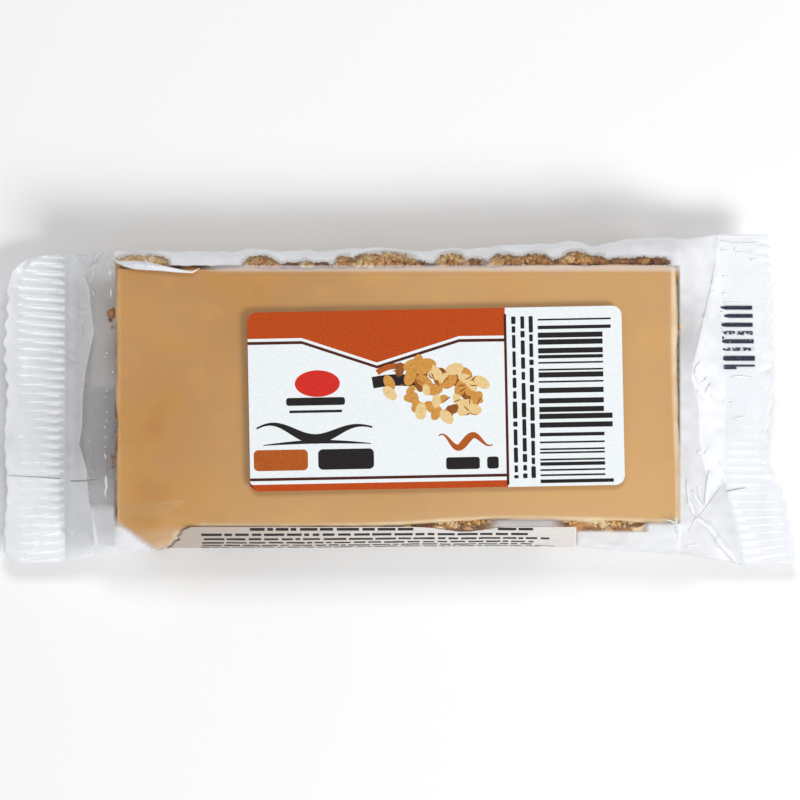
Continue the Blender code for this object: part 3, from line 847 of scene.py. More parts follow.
def slack_end(end, seal, front, back, lines, share, loose):
    """Rings of film from the bar's end to a seal, at these shares of the way. Each point goes
    straight from its place round the bar to its place along the seal, with loose puckers, and
    folds on the upper side. Past the whole way the film is pinched to end inside the seal."""
    y0, z0 = film_round(np.array([end]))
    upper = ROUND_FRONT + ROUND_TOP + ROUND_BACK
    y0 = y0[0]
    z0 = z0[0]
    reach = np.hypot(np.diff(y0, append=y0[0]), np.diff(z0, append=z0[0]))
    over = np.concatenate(([0], np.cumsum(reach[:upper - 1])))
    under = np.concatenate(([0], np.cumsum(reach[upper:-1])))
    over = over / over[-1]
    under = under / under[-1]
    y1 = np.concatenate((front + (back - front) * over, back + (front - back) * under))
    side = np.concatenate((np.ones(upper), -np.ones(len(under))))
    _, inner, height = seal(y1)
    k = share[:, None]
    z1 = height + SLACK_HALF * side * (1 - 0.6 * rise(1.0, 1.04, k))
    x = end + (inner - end) * k
    k = np.minimum(k, 1)
    y = y0 + (y1 - y0) * k
    z = z0 + (z1 - z0) * k
    spots = np.stack((x, y, 3 * side + 0 * x), -1)
    middle = np.sin(math.pi * np.clip(k, 0, 1)) ** 0.7
    tight = np.minimum(1, 8 * np.minimum(np.concatenate((over, under)),
                                         1 - np.concatenate((over, under))))
    pucker = 1 - 2 * np.abs(lumps(spots, 4.6, 21)) + 0.4 * lumps(spots, 1.9, 22)
    z = z + loose * pucker * middle * tight
    upside = side > 0
    z = z + creased(x, seen(y, z), lines) * rise(0.0, 0.12, k) * rise(1.0, 0.92, k) * upside
    return np.stack((x, y, np.maximum(z, LOWEST)), -1)


BLOCK_STATIONS = 120
RIB_HIGH = 0.12
SLACK_SHARES = np.append(np.linspace(0, 1, 56)[1:], (1.02, 1.05))
along_block = np.linspace(BLOCK_LEFT, BLOCK_RIGHT, BLOCK_STATIONS)
y, z = film_round(along_block)
block = np.stack((along_block[:, None] + 0 * y, y, z), -1)
left_slack = slack_end(BLOCK_LEFT, seal_left, LEFT_FRONT, LEFT_BACK, LEFT_FOLDS,
                       SLACK_SHARES[::-1], 0.22)
right_slack = slack_end(BLOCK_RIGHT, seal_right, RIGHT_FRONT, RIGHT_BACK, RIGHT_FOLDS,
                        SLACK_SHARES, 0.12)
film_rings = np.concatenate((left_slack, block, right_slack))
points, faces = tube(film_rings)

# How milky the film is: clear over the bar, clouded where it is slack, creased or turned. In each
# slack end a fold parts a milky side, next to the seal, from a clearer one: heights in the
# picture from front to back, and its x at each.
LEFT_PART_V = (-26.6, -21.8, -16.1, -12.3, -7.5, -3.7, 2.0, 7.7, 13.9, 20.0, 22.3, 25.3, 28.8)
LEFT_PART_X = (-58.2, -58.6, -59.5, -59.7, -61.2, -60.6, -60.5, -59.7, -58.3, -59.1, -59.2, -60.5,
               -61.8)
RIGHT_PART_V = (-26.9, -22.0, -18.6, -14.0, -9.4, -6.6, 1.0, 5.2, 8.2, 10.5, 16.6, 22.9, 27.2, 32.4)
RIGHT_PART_X = (54.4, 55.9, 58.0, 58.6, 57.4, 57.0, 56.8, 55.5, 55.7, 56.5, 58.0, 59.5, 60.3, 60.8)
x, y, z = np.moveaxis(film_rings, -1, 0)
v = seen(y, z)
# Left slack end
part = np.interp(v, LEFT_PART_V, LEFT_PART_X)
milky = rise(part + 0.14, part - 0.14, x)
left_cloud = 0.02 + milky * (0.58 + 0.18 * rise(-61.2, -62.8, x) + 0.16 * rise(-8, -18, v))
left_cloud += 0.14 * hump(x - part, -0.1, 0.16) + 0.24 * rise(21, 27, v)
left_cloud += 0.07 * (1 - milky) * rise(-58.5, -58.8, x) * (v < 3.3) * (v > -13.9)
left_cloud += 0.16 * rise(-9, -18, v)
left_cloud = np.maximum(left_cloud, 0.84 * rise(-17.8, -20.6, v))
# Right slack end
part = np.interp(v, RIGHT_PART_V, RIGHT_PART_X)
milky = rise(part - 0.14, part + 0.14, x)
diagonal = -14.4 + 1.206 * (x - 62.2)
right_cloud = 0.66 + 0.1 * rise(18, 26, v) - 0.22 * hump(v, 13.5, 6.5) * rise(58, 55.5, x)
right_cloud = right_cloud + milky * (0.84 - right_cloud)
right_cloud = right_cloud + (0.62 - right_cloud) * rise(diagonal + 0.15, diagonal - 0.15, v)
# Round the bar: cloudy behind it between the clumps, and in places along the front
off_top = np.where(y > 0, rise(25.1, 25.4, y), rise(0.6, 1.8, TOP_Z - z))
clumps = np.zeros_like(x)
for middle, half, foot_y, reach, _, _ in BACK_CLUMPS:
    near = rise(half + 0.8, half - 0.5, np.abs(x - middle))
    dome = np.sqrt(1 - 0.8 * np.clip((x - middle) / half, -1, 1) ** 2)
    edge = foot_y + 0.9 * reach * dome + 0.35
    clumps = np.maximum(clumps, near * rise(edge + 0.6, edge - 0.3, v - 1.2))
at_back = (0.88 - 0.86 * clumps) * rise(5, 9, z)
milky_corner = rise(-52.3, -54.7, x + (v + 22.3) * 1.29)
at_front = 0.03 + 0.84 * milky_corner + 0.78 * rise(-23.6, -24.3, v) * rise(32.5, 34.5, x)
over_bar = 0.004 + off_top * np.where(y > 0, at_back, at_front)
over_bar = over_bar + 0.34 * (1 - off_top) * rise(25.2, 25.8, v) * rise(-38, -34, x)
over_bar = np.maximum(over_bar, 0.78 * rise(46.2, 47.4, x) * rise(-22.2, -22.8, v))
beside_clumps = rise(15.8, 19.5, x) * rise(32.0, 28.0, x)
over_bar = np.maximum(over_bar, 0.5 * beside_clumps * rise(-21.5, -22.1, v))
# All three together, blended where the slack ends begin
cloud = np.where(x < BLOCK_LEFT, left_cloud, np.where(x > BLOCK_RIGHT, right_cloud, over_bar))
slack = np.concatenate((SLACK_SHARES[::-1], np.zeros(BLOCK_STATIONS), SLACK_SHARES))[:, None]
cloud = over_bar + (cloud - over_bar) * np.where(slack > 0, rise(0.0, 0.06, slack), 1)
cloud = np.clip(cloud * (1 + 0.09 * lumps(film_rings * (1, 2.2, 1), 3.0, 24)), 0.003, 0.95)

CRINKLE_MM = 2.4
film, tree = new_material("clear_polypropylene_film")
cloudy = point_number(tree, "cloud")
dent = bump(tree, noise(tree, CRINKLE_MM, 3.0, 0.6), 0.25, 0.35)
clear = add_node(tree, "ShaderNodeBsdfTransparent", {"Color": (0.985, 0.99, 1.0, 1.0)})
shine = add_node(tree, "ShaderNodeBsdfGlossy", {"Color": (1.0, 1.0, 1.0, 1.0),
                 "Roughness": 0.12, "Normal": (dent, 0)})
# A thin film shines alike from both sides: 4% straight on, rising with the fifth power of the
# slant, which Layer Weight gives for either side and Fresnel would not
slant = add_node(tree, "ShaderNodeLayerWeight", {"Blend": 0.5, "Normal": (dent, 0)})
steep = add_node(tree, "ShaderNodeMath", {0: (slant, "Facing"), 1: 5.0}, operation="POWER")
bright = add_node(tree, "ShaderNodeMath", {0: (steep, 0), 1: 0.9, 2: 0.04},
                  operation="MULTIPLY_ADD", use_clamp=True)
sheer = add_node(tree, "ShaderNodeMixShader", {0: (bright, 0), 1: (clear, 0), 2: (shine, 0)})
milk = add_node(tree, "ShaderNodeBsdfPrincipled", {"Base Color": linear("#F5F7FB"),
                "Roughness": 0.3, "IOR": 1.5, "Normal": (dent, 0)})
wrap = add_node(tree, "ShaderNodeMixShader", {0: (cloudy, "Fac"), 1: (sheer, 0), 2: (milk, 0)})
put_surface(tree, wrap)

put_mesh("bag_film", points, faces, film, values={"cloud": cloud})


# End seals
# Both layers of film pressed together between ribbed jaws and cut off with a wavy knife: milky,
# with a ridge across them about every 1.6 mm and a smooth margin outside. The crests carry
# painted highlights in places, with painted shade on the slope in front of each.

SEAL_SPACING = 0.3
SEAL_HALF = 0.12
RIB_POINTS = 14
# How far the seals reach inside the bag, as a share of their width, and in mm for their clouds
TUCKED = 0.08
LEFT_FADE = 0.88
RIGHT_FADE = 0.72


def seal_rings(seal, ribs, front, back, ribbed_to, lean, strong, seed):
    """Closed thin slab of a seal: rings across it from just inside the bag to its outer edge,
    with flat-topped ridges that tip back a little and fade out past ribbed_to, small dents
    and a curl. Also gives how near each point is to the middle of a crest."""
    count = int(round((back - front) / ribs[0] * RIB_POINTS))
    y = np.linspace(front, back, count)
    outer, inner, height = seal(y)
    steps = int(round(np.max(np.abs(outer - inner)) / SEAL_SPACING))
    k = np.linspace(-TUCKED, 1, steps + 1)[:, None]
    x = inner + (outer - inner) * k
    flow = np.stack((x, y + 0 * x, 0 * x), -1)
    line_y = y - (x - inner) * swell(y, lean) + 0.05 * lumps(flow, 5.0, seed)
    crest, over = ridge(line_y, ribs)
    strength = rise(ribbed_to + 0.06, ribbed_to - 0.02, k)
    strength = strength * (0.85 + 0.3 * lumps(flow, 3.0, seed + 1)) * strong(x, y + 0 * x)
    rib = (RIB_HIGH * (2 * crest - 1) - 0.09 * ribs[0] * over * crest) * strength
    dents = 0.12 * lumps(flow, 2.6, seed + 2) * rise(0.5, 1.0, k)
    dents = dents + 0.03 * lumps(flow, 1.0, seed + 3)
    curl = 0.5 * rise(0.75, 1.0, k) * lumps(flow, 7.0, seed + 4)
    z = height + rib + dents + curl
    ends = np.minimum(1, np.minimum(y - front, back - y) / 0.4)
    half = SEAL_HALF * ends * np.where((k <= -TUCKED) | (k >= 1), 0.3, 1.0)
    upper = np.stack((x, y + 0 * x, z + half), -1)
    lower = np.stack((x, y + 0 * x, z - half), -1)
    return loop(upper, lower), over


# Crests with a painted highlight on the left seal, where the ribs also stand full: y, and x of
# their outer end
LEFT_GLINT_Y = (-29.9, -26.6, -20.0, 6.4, 9.6, 12.5, 19.8, 21.1, 24.5, 27.5)
LEFT_GLINT_X = (-73.2, -69.4, -67.9, -68.4, -66.5, -72.2, -72.2, -65.4, -70.3, -65.0)


def left_strength(x, y):
    """Ribs of the left seal: full where they glint, weaker outside that, weakest at the front."""
    far = np.interp(y, LEFT_GLINT_Y, LEFT_GLINT_X)
    weak = 0.26 + 0.3 * rise(-6, 6, y) - 0.2 * rise(20, 22, y)
    strong = weak + (0.8 - weak) * rise(far - 1.5, far + 3.0, x)
    return strong * rise(-63.9, -64.7, x)


def right_strength(x, y):
    """Ribs of the right seal: faint at the back, a little stronger at the front."""
    return (0.2 + 0.26 * rise(-14, -20, y)) * rise(0.1, 0.8, x - seal_right(y)[1])


left_rings, over = seal_rings(seal_left, LEFT_RIBS, LEFT_FRONT, LEFT_BACK, 0.76,
                              ((0, 18, -0.075), (-8, -28, 0.08)), left_strength, 41)
points, faces = tube(left_rings)
x, y, z = np.moveaxis(left_rings[:, :over.shape[1]], -1, 0)
# Painted highlights: a white band along each crest from the inner edge out to glint_end, broken at
# the back, and painted shade on the slope in front of each crest
glint_end = np.interp(y, LEFT_GLINT_Y, LEFT_GLINT_X)
starts_at = -63.6 - 1.2 * rise(2.6, 1.6, y)
glint = rise(glint_end - 0.6, glint_end + 1.8, x) * rise(starts_at, starts_at - 0.5, x)
broken = np.clip(0.9 + 1.2 * lumps(np.stack((x, y, 0 * x), -1), 1.1, 58), 0, 1)
glint = glint * (1 - rise(20.5, 21.5, y) * (1 - 0.8 * broken))
wide = 0.05 + 0.13 * rise(glint_end, -64.6, x)
band = hump(over, 0.02, wide) * glint
shade = hump(over, -0.32, 0.12) * (0.35 + 0.65 * glint) * rise(-73.4, -71.5, x)
cloud = 0.63 + 0.1 * rise(14, -24, y) - 0.06 * rise(-71.5, -73.5, x)
cloud = cloud * (1 + 0.12 * lumps(np.stack((x, y, 0 * x), -1), 4.0, 51))
cloud = cloud + 0.45 * band - 0.05 * shade
cloud = cloud * rise(LEFT_INNER + LEFT_FADE, LEFT_INNER, x)
put_mesh("left_seal", points, faces, film,
         values={"cloud": np.clip(loop(cloud, cloud), 0.015, 1)})

right_rings, over = seal_rings(seal_right, RIGHT_RIBS, RIGHT_FRONT, RIGHT_BACK, 0.84,
                               ((-18, -30, 0.14),), right_strength, 61)
points, faces = tube(right_rings)
x, y, z = np.moveaxis(right_rings[:, :over.shape[1]], -1, 0)
_, inner, _ = seal_right(y)
# Painted highlights on the crests near the inner edge at the front, and painted shade in front of
# each crest
glint_end = inner + 0.8 + 0.31 * (-17.3 - y)
glint = rise(inner + 0.2, inner + 0.8, x) * rise(glint_end + 0.3, glint_end - 0.8, x)
glint = glint * rise(-16.6, -17.6, y)
cloud = 0.8 + 0.05 * rise(0, 25, y) - 0.1 * rise(67.8, 69.4, x) * rise(20, 12, y)
cloud = cloud * (1 + 0.08 * lumps(np.stack((x, y, 0 * x), -1), 4.0, 71))
cloud = cloud + 0.3 * hump(over, 0.02, 0.17) * glint - 0.05 * hump(over, -0.32, 0.14)
cloud = cloud * rise(inner - RIGHT_FADE, inner, x)
put_mesh("right_seal", points, faces, film,
         values={"cloud": np.clip(loop(cloud, cloud), 0.015, 1)})


# Long seal
# The tube's two long edges, sealed face to face and folded flat under the bar. It runs into both
# end seals, where its edge is drawn as a thin grey line of painted shade.

FIN_LEFT = LEFT_OUTER + 1.2
FIN_RIGHT = RIGHT_OUTER - 1.0
FIN_FRONT = -14.0
FIN_BACK = 3.4
FIN_STATIONS = 120
FIN_POINTS = 24
FIN_DROP = 0.25
FIN_THICK = 0.3
UNDER_SEAL = 0.3


def under_height(x, y):
    """Height of the film's underside: flat under the bar, rising straight to the end seals."""
    _, left_x, left_z = seal_left(y)
    _, right_x, right_z = seal_right(y)
    to_left = np.clip((x - BLOCK_LEFT) / (left_x - BLOCK_LEFT), 0, 1)
    to_right = np.clip((x - BLOCK_RIGHT) / (right_x - BLOCK_RIGHT), 0, 1)
    left_rise = left_z - UNDER_SEAL - FOOT_Z
    right_rise = right_z - UNDER_SEAL - FOOT_Z
    return FOOT_Z + left_rise * to_left + right_rise * to_right


def strip(x0, x1, y0, y1, drop, thick):
    """A thin strip under the bag from x0 to x1 and y0 to y1, its top this far under the film."""
    x = np.linspace(x0, x1, FIN_STATIONS)[:, None]
    y = np.linspace(y0, y1, FIN_POINTS) + 0 * x
    top = under_height(x, y) - drop + 0.06 * np.sin(x * 1.9)
    upper = np.stack((x + 0 * y, y, top), -1)
    lower = np.stack((x + 0 * y, y, np.maximum(top - thick, 0.02)), -1)
    return loop(upper, lower)


points, faces = tube(strip(FIN_LEFT, FIN_RIGHT, FIN_FRONT, FIN_BACK, FIN_DROP, FIN_THICK))
FIN_CLOUD = 0.12
put_mesh("long_seal", points, faces, film,
         values={"cloud": np.full(len(points), FIN_CLOUD)})


# Painted fold highlights
# White strokes and dots of painted highlight where folds and pinches of the film catch the light:
# on the slack ends and the right seal, and one broad one over a fold at the back left corner of the
# bar.

# Strokes of painted highlight: how white, then x, height in the picture and width at each bend
PAINTED_HIGHLIGHT_STROKES = (
    (0.9, (-61.1, 27.8, 0.2), (-60.8, 27.1, 0.5), (-60.5, 26.4, 0.3), (-60.1, 25.0, 0.2)),
    (0.5, (-57.4, 28.8, 0.9), (-58.4, 27.6, 1.0), (-59.4, 26.3, 0.3)),
    (0.4, (-58.1, 26.3, 0.15), (-58.4, 24.8, 0.35), (-58.8, 23.4, 0.1)),
    (0.7, (-58.8, 22.2, 0.1), (-58.3, 20.9, 0.3)),
    (0.9, (-55.4, 25.8, 0.15), (-55.2, 25.1, 0.55), (-55.1, 24.6, 0.2)),
    (0.8, (-55.0, 22.2, 0.1), (-55.0, 21.4, 0.35), (-55.1, 20.5, 0.15)),
    (0.85, (-61.9, 19.7, 0.15), (-61.4, 18.8, 0.4), (-60.7, 18.5, 0.35), (-60.0, 18.5, 0.1)),
    (0.6, (-61.5, 17.3, 0.15), (-60.8, 17.0, 0.35), (-60.0, 17.2, 0.1)),
    (0.6, (-63.7, 17.8, 0.1), (-63.3, 17.2, 0.35), (-62.9, 16.5, 0.1)),
    (0.7, (-62.9, 10.8, 0.1), (-62.4, 10.2, 0.3), (-61.8, 9.9, 0.1)),
    (0.7, (-63.8, 9.5, 0.1), (-62.8, 8.6, 0.3), (-61.7, 8.1, 0.1)),
    (0.5, (-59.9, 16.2, 0.1), (-60.8, 14.6, 0.25), (-60.5, 13.4, 0.2), (-59.7, 12.6, 0.1)),
    (0.9, (-56.2, -9.1, 0.1), (-56.0, -9.7, 0.4), (-56.0, -10.2, 0.1)),
    (1.0, (-55.9, -13.4, 0.25), (-56.0, -14.4, 0.45), (-55.8, -15.4, 0.3), (-56.1, -16.4, 0.35),
     (-55.9, -17.8, 0.1)),
    (0.5, (-56.9, -20.8, 0.1), (-56.5, -20.0, 0.25), (-56.2, -19.2, 0.1)),
    (0.8, (-64.5, -24.2, 0.15), (-63.9, -23.6, 0.35), (-63.3, -23.8, 0.35), (-62.6, -24.5, 0.1)),
    (0.88, (-55.6, 28.7, 0.12), (-54.6, 27.9, 0.3), (-53.6, 27.2, 0.45), (-52.2, 26.9, 1.1),
     (-50.5, 26.7, 1.6), (-48.0, 26.5, 1.6), (-45.6, 26.15, 1.15), (-42.5, 25.65, 0.75),
     (-40.5, 25.4, 0.45), (-39.4, 25.35, 0.35), (-38.1, 26.1, 0.08)),
    (0.9, (-48.6, 28.0, 0.08), (-48.3, 27.3, 0.4), (-48.0, 26.6, 0.6)),
    (0.75, (60.7, 31.5, 0.3), (60.3, 27.2, 0.5), (59.5, 22.9, 0.45), (58.7, 19.5, 0.4),
     (58.0, 16.6, 0.35), (57.2, 13.4, 0.35), (56.5, 10.5, 0.3), (55.6, 6.5, 0.1)),
    (1.0, (56.2, -21.5, 0.3), (57.4, -22.1, 0.75), (58.7, -23.1, 0.85), (59.8, -24.4, 0.9),
     (60.6, -25.7, 1.1), (61.3, -26.7, 0.8), (62.6, -28.1, 0.65), (63.8, -29.5, 0.5),
     (65.1, -30.7, 0.15)),
    (1.0, (60.9, -11.0, 0.1), (61.5, -12.2, 0.35), (62.2, -14.4, 0.3), (62.1, -14.9, 0.05)),
    (0.8, (62.2, -14.5, 0.15), (60.6, -16.4, 0.2), (57.8, -20.2, 0.3), (56.0, -22.0, 0.3),
     (54.8, -24.2, 0.1)),
    (0.8, (54.6, -14.0, 0.2), (54.7, -15.8, 0.7), (55.0, -18.4, 0.7), (55.8, -20.3, 0.7),
     (56.8, -21.6, 0.3)),
    (0.8, (55.6, -16.2, 0.1), (56.3, -17.6, 0.5), (57.2, -19.0, 0.4), (58.0, -20.0, 0.1)),
    (0.8, (56.5, -15.6, 0.2), (57.1, -17.2, 0.4), (57.9, -18.9, 0.15)),
    (0.9, (58.9, -12.5, 0.2), (58.8, -14.4, 0.9), (58.6, -16.4, 1.0), (58.2, -18.4, 0.6),
     (58.0, -19.3, 0.1)),
    (1.0, (54.2, -27.1, 0.1), (55.2, -26.8, 0.35), (56.2, -26.6, 0.3), (57.1, -26.6, 0.1)),
    (0.9, (50.4, -21.7, 0.1), (51.4, -21.95, 0.3), (52.1, -22.3, 0.3), (52.6, -23.9, 0.35),
     (53.0, -25.6, 0.1)),
    (0.45, (52.45, -21.1, 0.15), (52.5, -22.4, 0.7), (52.7, -23.8, 0.5), (53.0, -25.4, 0.1)),
    (0.9, (57.2, 8.4, 0.1), (56.4, 7.4, 0.5), (56.2, 6.0, 0.5), (57.0, 4.2, 0.5), (58.0, 4.6, 0.4),
     (58.4, 5.6, 0.1)),
    (0.9, (56.5, 2.8, 0.1), (57.2, 1.6, 0.5), (57.9, 0.5, 0.15)),
    (0.9, (58.1, 2.2, 0.1), (58.7, 3.2, 0.45), (59.2, 4.2, 0.1)),
    (0.9, (59.2, 2.0, 0.1), (59.9, 1.0, 0.5), (60.6, 0.0, 0.1)),
    (1.0, (61.6, 4.0, 0.15), (61.7, 3.2, 0.35), (61.8, 2.4, 0.15)),
    (1.0, (61.8, 1.1, 0.2), (61.9, 0.2, 0.4), (61.9, -0.6, 0.2)),
    (1.0, (61.8, -1.6, 0.15), (61.9, -2.2, 0.35), (61.9, -2.8, 0.15)),
    (1.0, (61.9, -3.3, 0.15), (62.0, -4.2, 0.3)),
    (0.9, (56.6, -8.7, 0.2), (57.1, -9.2, 0.6), (57.9, -9.4, 0.4), (58.9, -8.0, 0.1)),
    (1.0, (59.2, 21.7, 0.3), (60.4, 21.7, 0.35), (60.7, 21.7, 0.1)),
    (1.0, (63.2, 5.4, 0.2), (65.0, 5.45, 0.5), (67.2, 5.3, 0.15)),
    (1.0, (63.6, -2.5, 0.15), (64.8, -2.5, 0.5), (66.0, -2.1, 0.15)),
    (1.0, (62.9, 0.5, 0.2), (63.7, 0.5, 0.3), (63.9, 0.5, 0.1)),
    (1.0, (61.7, 19.6, 0.25), (63.4, 19.6, 0.3), (64.8, 19.5, 0.2)),
    (1.0, (61.5, 24.6, 0.3), (62.7, 24.6, 0.2)),
    (1.0, (61.5, 21.3, 0.35), (62.9, 21.3, 0.25)),
    (1.0, (61.3, 29.5, 0.3), (62.4, 29.5, 0.2)),
    (1.0, (66.9, 27.8, 0.35), (67.9, 27.8, 0.3)),
    (1.0, (63.9, 30.1, 0.2), (63.9, 29.2, 0.2), (67.6, 29.1, 0.2)),
    (1.0, (61.1, 31.4, 0.1), (63.6, 30.9, 0.25), (67.9, 30.9, 0.3), (69.2, 31.2, 0.1)))
PAINTED_HIGHLIGHT_DOTS = ((-59.3, 25.0), (-55.0, 23.8), (-55.8, 9.9), (-54.7, 6.4), (-56.1, 9.2), (-55.9, 2.7),
              (-56.1, 1.6), (-55.7, -1.3), (-55.8, -3.0), (-56.2, -4.1), (-56.0, -6.0),
              (-59.1, -6.8), (-59.4, 5.0), (-59.3, 21.9), (-56.1, -7.9))
STROKE_STEP = 0.25
STROKE_THICK = 0.02
MARK_LIFT = 0.13

upper = ROUND_FRONT + ROUND_TOP + ROUND_BACK
skins = (film_rings[:, :upper], left_rings[:, :left_rings.shape[1] // 2],
         right_rings[:, :right_rings.shape[1] // 2])
top_skin = np.concatenate([s.reshape(-1, 3) for s in skins])
top_seen = seen(top_skin[:, 1], top_skin[:, 2])


def lay_down(x, v, lift):
    """Points at x and height v in the picture, laid this far above the film or seal: z is the mean
    of the four nearest points of the skin, weighted by nearness, and y follows from v and z."""
    z = np.empty(x.shape)
    for at in np.ndindex(x.shape):
        away = (top_skin[:, 0] - x[at]) ** 2 + (top_seen - v[at]) ** 2
        near = np.argpartition(away, 4)[:4]
        z[at] = np.average(top_skin[near, 2], weights=1 / (away[near] + 0.001))
    z = z + lift
    y = (v - z * math.cos(ELEVATION)) / math.sin(ELEVATION)
    return np.stack((x, y, z), -1)


def ribbon(bends):
    """Thin strip through (x, height in the picture, width) bends, as a tube of four-sided rings."""
    bends = np.array(bends)
    reach = np.concatenate(([0], np.cumsum(np.hypot(*np.diff(bends[:, :2], axis=0).T))))
    along = np.linspace(0, reach[-1], max(3, int(reach[-1] / STROKE_STEP)))
    x, v, wide = (np.interp(along, reach, bends[:, i]) for i in range(3))
    dx = np.gradient(x)
    dv = np.gradient(v)
    size = np.hypot(dx, dv)
    sides = np.array((-0.5, 0.5))[:, None]
    edge_x = x - dv / size * wide * sides
    edge_v = v + dx / size * wide * sides
    high = lay_down(edge_x, edge_v, MARK_LIFT)
    low = high - (0, 0, STROKE_THICK)
    return np.stack((high[0], high[1], low[1], low[0]), axis=1)


def put_strokes(name, strokes, material):
    """One piece from strokes, each how white it is and then its bends."""
    parts = [tube(ribbon(bends)) for _, *bends in strokes]
    clouds = [np.full(len(p), white) for (p, _), (white, *_) in zip(parts, strokes)]
    points, faces = joined(parts)
    put_mesh(name, points, faces, material, values={"cloud": np.concatenate(clouds)})


highlight_dots = tuple((0.8, (x, v + 0.18, 0.1), (x, v, 0.3), (x, v - 0.18, 0.1)) for x, v in PAINTED_HIGHLIGHT_DOTS)
put_strokes("painted_fold_highlights", PAINTED_HIGHLIGHT_STROKES + highlight_dots, film)

# The edge of the long seal under both end seals: a fine grey line of painted shade laid on them
edge_shade_grey, tree = new_material("painted_edge_shade")
grey = add_node(tree, "ShaderNodeBsdfPrincipled", {"Base Color": linear("#9B9EA4"),
                "Roughness": 0.4, "IOR": 1.5})
put_surface(tree, grey)
EDGE_SHADE_LINES = ((1.0, (-74.6, -13.4, 0.08), (-68.4, -13.7, 0.13), (-64.7, -14.0, 0.12)),
           (1.0, (-63.0, -14.4, 0.2), (-60.8, -14.4, 0.2), (-58.6, -14.2, 0.18),
            (-57.4, -14.0, 0.1)),
           (1.0, (61.6, -16.5, 0.12), (63.7, -16.1, 0.14), (65.8, -15.7, 0.08)))
put_strokes("long_seal_edge_shade", EDGE_SHADE_LINES, edge_shade_grey)


# Top sticker
# White coated paper with rounded corners, stuck on the film over the caramel layer. The print is
# plain fields, stripes and simple shapes.

LABEL_WIDE, LABEL_DEEP = 71.2, 34.2
LABEL_X, LABEL_Y = 6.84, -0.25
LABEL_TURN = math.radians(1.1)
LABEL_CORNER = 1.8
LABEL_Z = 17.28
LABEL_THICK = 0.12
INK_THICK = 0.02


def on_label(outline):
    """Outline in the sticker's own x and y, turned with it and moved to its middle."""
    s, t = np.asarray(outline, float).T
    x = LABEL_X + s * math.cos(LABEL_TURN) - t * math.sin(LABEL_TURN)
    y = LABEL_Y + s * math.sin(LABEL_TURN) + t * math.cos(LABEL_TURN)
    return np.stack((x, y), 1)


def box_line(x, y, wide, deep, corner=0.0):
    """Outline of a box about (x, y) with round corners."""
    corner = max(corner, 0.001)
    angle = np.linspace(0, math.pi / 2, 2 if corner < 0.05 else 7)
    quarter = np.stack((np.cos(angle), np.sin(angle)), 1) * corner
    parts = []
    for turn, (sx, sy) in enumerate(((1, 1), (-1, 1), (-1, -1), (1, -1))):
        c, s = math.cos(turn * math.pi / 2), math.sin(turn * math.pi / 2)
        turned = quarter @ np.array(((c, s), (-s, c)))
        middle = np.array((x + sx * (wide / 2 - corner), y + sy * (deep / 2 - corner)))
        parts.append(turned + middle)
    return np.concatenate(parts)


def oval_line(x, y, wide, deep, turn=0.0, count=28):
    """Outline of an oval about (x, y), turned by this angle in degrees."""
    angle = np.linspace(0, 2 * math.pi, count, endpoint=False)
    a = wide / 2 * np.cos(angle)
    b = deep / 2 * np.sin(angle)
    c, s = math.cos(math.radians(turn)), math.sin(math.radians(turn))
    return np.stack((x + a * c - b * s, y + a * s + b * c), 1)


def stroke_line(x, y, widths):
    """Outline of a brush stroke: half the width to each side of the line through (x, y)."""
    dx = np.gradient(x)
    dy = np.gradient(y)
    size = np.hypot(dx, dy)
    nx = -dy / size * widths / 2
    ny = dx / size * widths / 2
    left = np.stack((x + nx, y + ny), 1)
    right = np.stack((x - nx, y - ny), 1)
    return np.concatenate((left, right[::-1]))


def plates(outlines, foot, thick):
    """Points and faces of flat plates, one for each outline: a foot, a top and a wall. Each is a
    hair thicker than the one before, so that plates may overlap."""
    points = []
    faces = []
    start = 0
    for number, outline in enumerate(outlines):
        n = len(outline)
        low = np.column_stack((outline, np.full(n, foot)))
        high = np.column_stack((outline, np.full(n, foot + thick * (1 + 0.06 * number))))
        points += [low, high]
        i = np.arange(n)
        j = (i + 1) % n
        walls = np.stack((i, j, n + j, n + i), 1) + start
        faces += walls.tolist()
        faces.append(list(range(start + n - 1, start - 1, -1)))
        faces.append(list(range(start + n, start + 2 * n)))
        start += 2 * n
    return np.concatenate(points), faces


def print_material(name, code, dark_code, speck_mm, roughness, shaded=None):
    """Printing ink or coated paper: its colour broken a little by the paper's fine grain, and
    turned to the shaded colour by the shade at each point, where one is given."""
    material, tree = new_material(name)
    speck = noise(tree, speck_mm, 2.0, 0.7)
    tint = (ramp(tree, (speck, "Fac"), ((0.32, dark_code), (0.62, code))), 0)
    if shaded:
        tint = towards(tree, point_number(tree, "shade"), tint, shaded)
    tooth = bump(tree, speck, 0.1, 0.02)
    face = add_node(tree, "ShaderNodeBsdfPrincipled", {"Base Color": tint,
                    "Roughness": roughness, "IOR": 1.5, "Specular IOR Level": 0.2,
                    "Normal": (tooth, 0)})
    put_surface(tree, face)
    return material


# Coated sticker paper: near white, matt with a soft sheen
label_paper = print_material("coated_label_paper", "#EEF3F5", "#E6ECEF", 0.5, 0.5)
# Offset inks, flat and slightly satin
orange_ink = print_material("orange_ink", "#C34C08", "#A83A02", 0.3, 0.5)
dark_brown_ink = print_material("dark_brown_ink", "#4F1A0B", "#43140A", 0.4, 0.5)
black_ink = print_material("black_ink", "#211D1D", "#171414", 0.4, 0.45)
red_ink = print_material("red_ink", "#D62A1E", "#C9241A", 0.4, 0.5)
golden_ink = print_material("golden_ink", "#D69B4A", "#C08237", 0.5, 0.5)
pale_ink = print_material("pale_oat_ink", "#EBCF97", "#DDB977", 0.5, 0.5)
toasted_ink = print_material("toasted_brown_ink", "#9A5A22", "#7F4516", 0.5, 0.5)
caramel_ink = print_material("caramel_ink", "#B65A1C", "#A54D12", 0.4, 0.5)

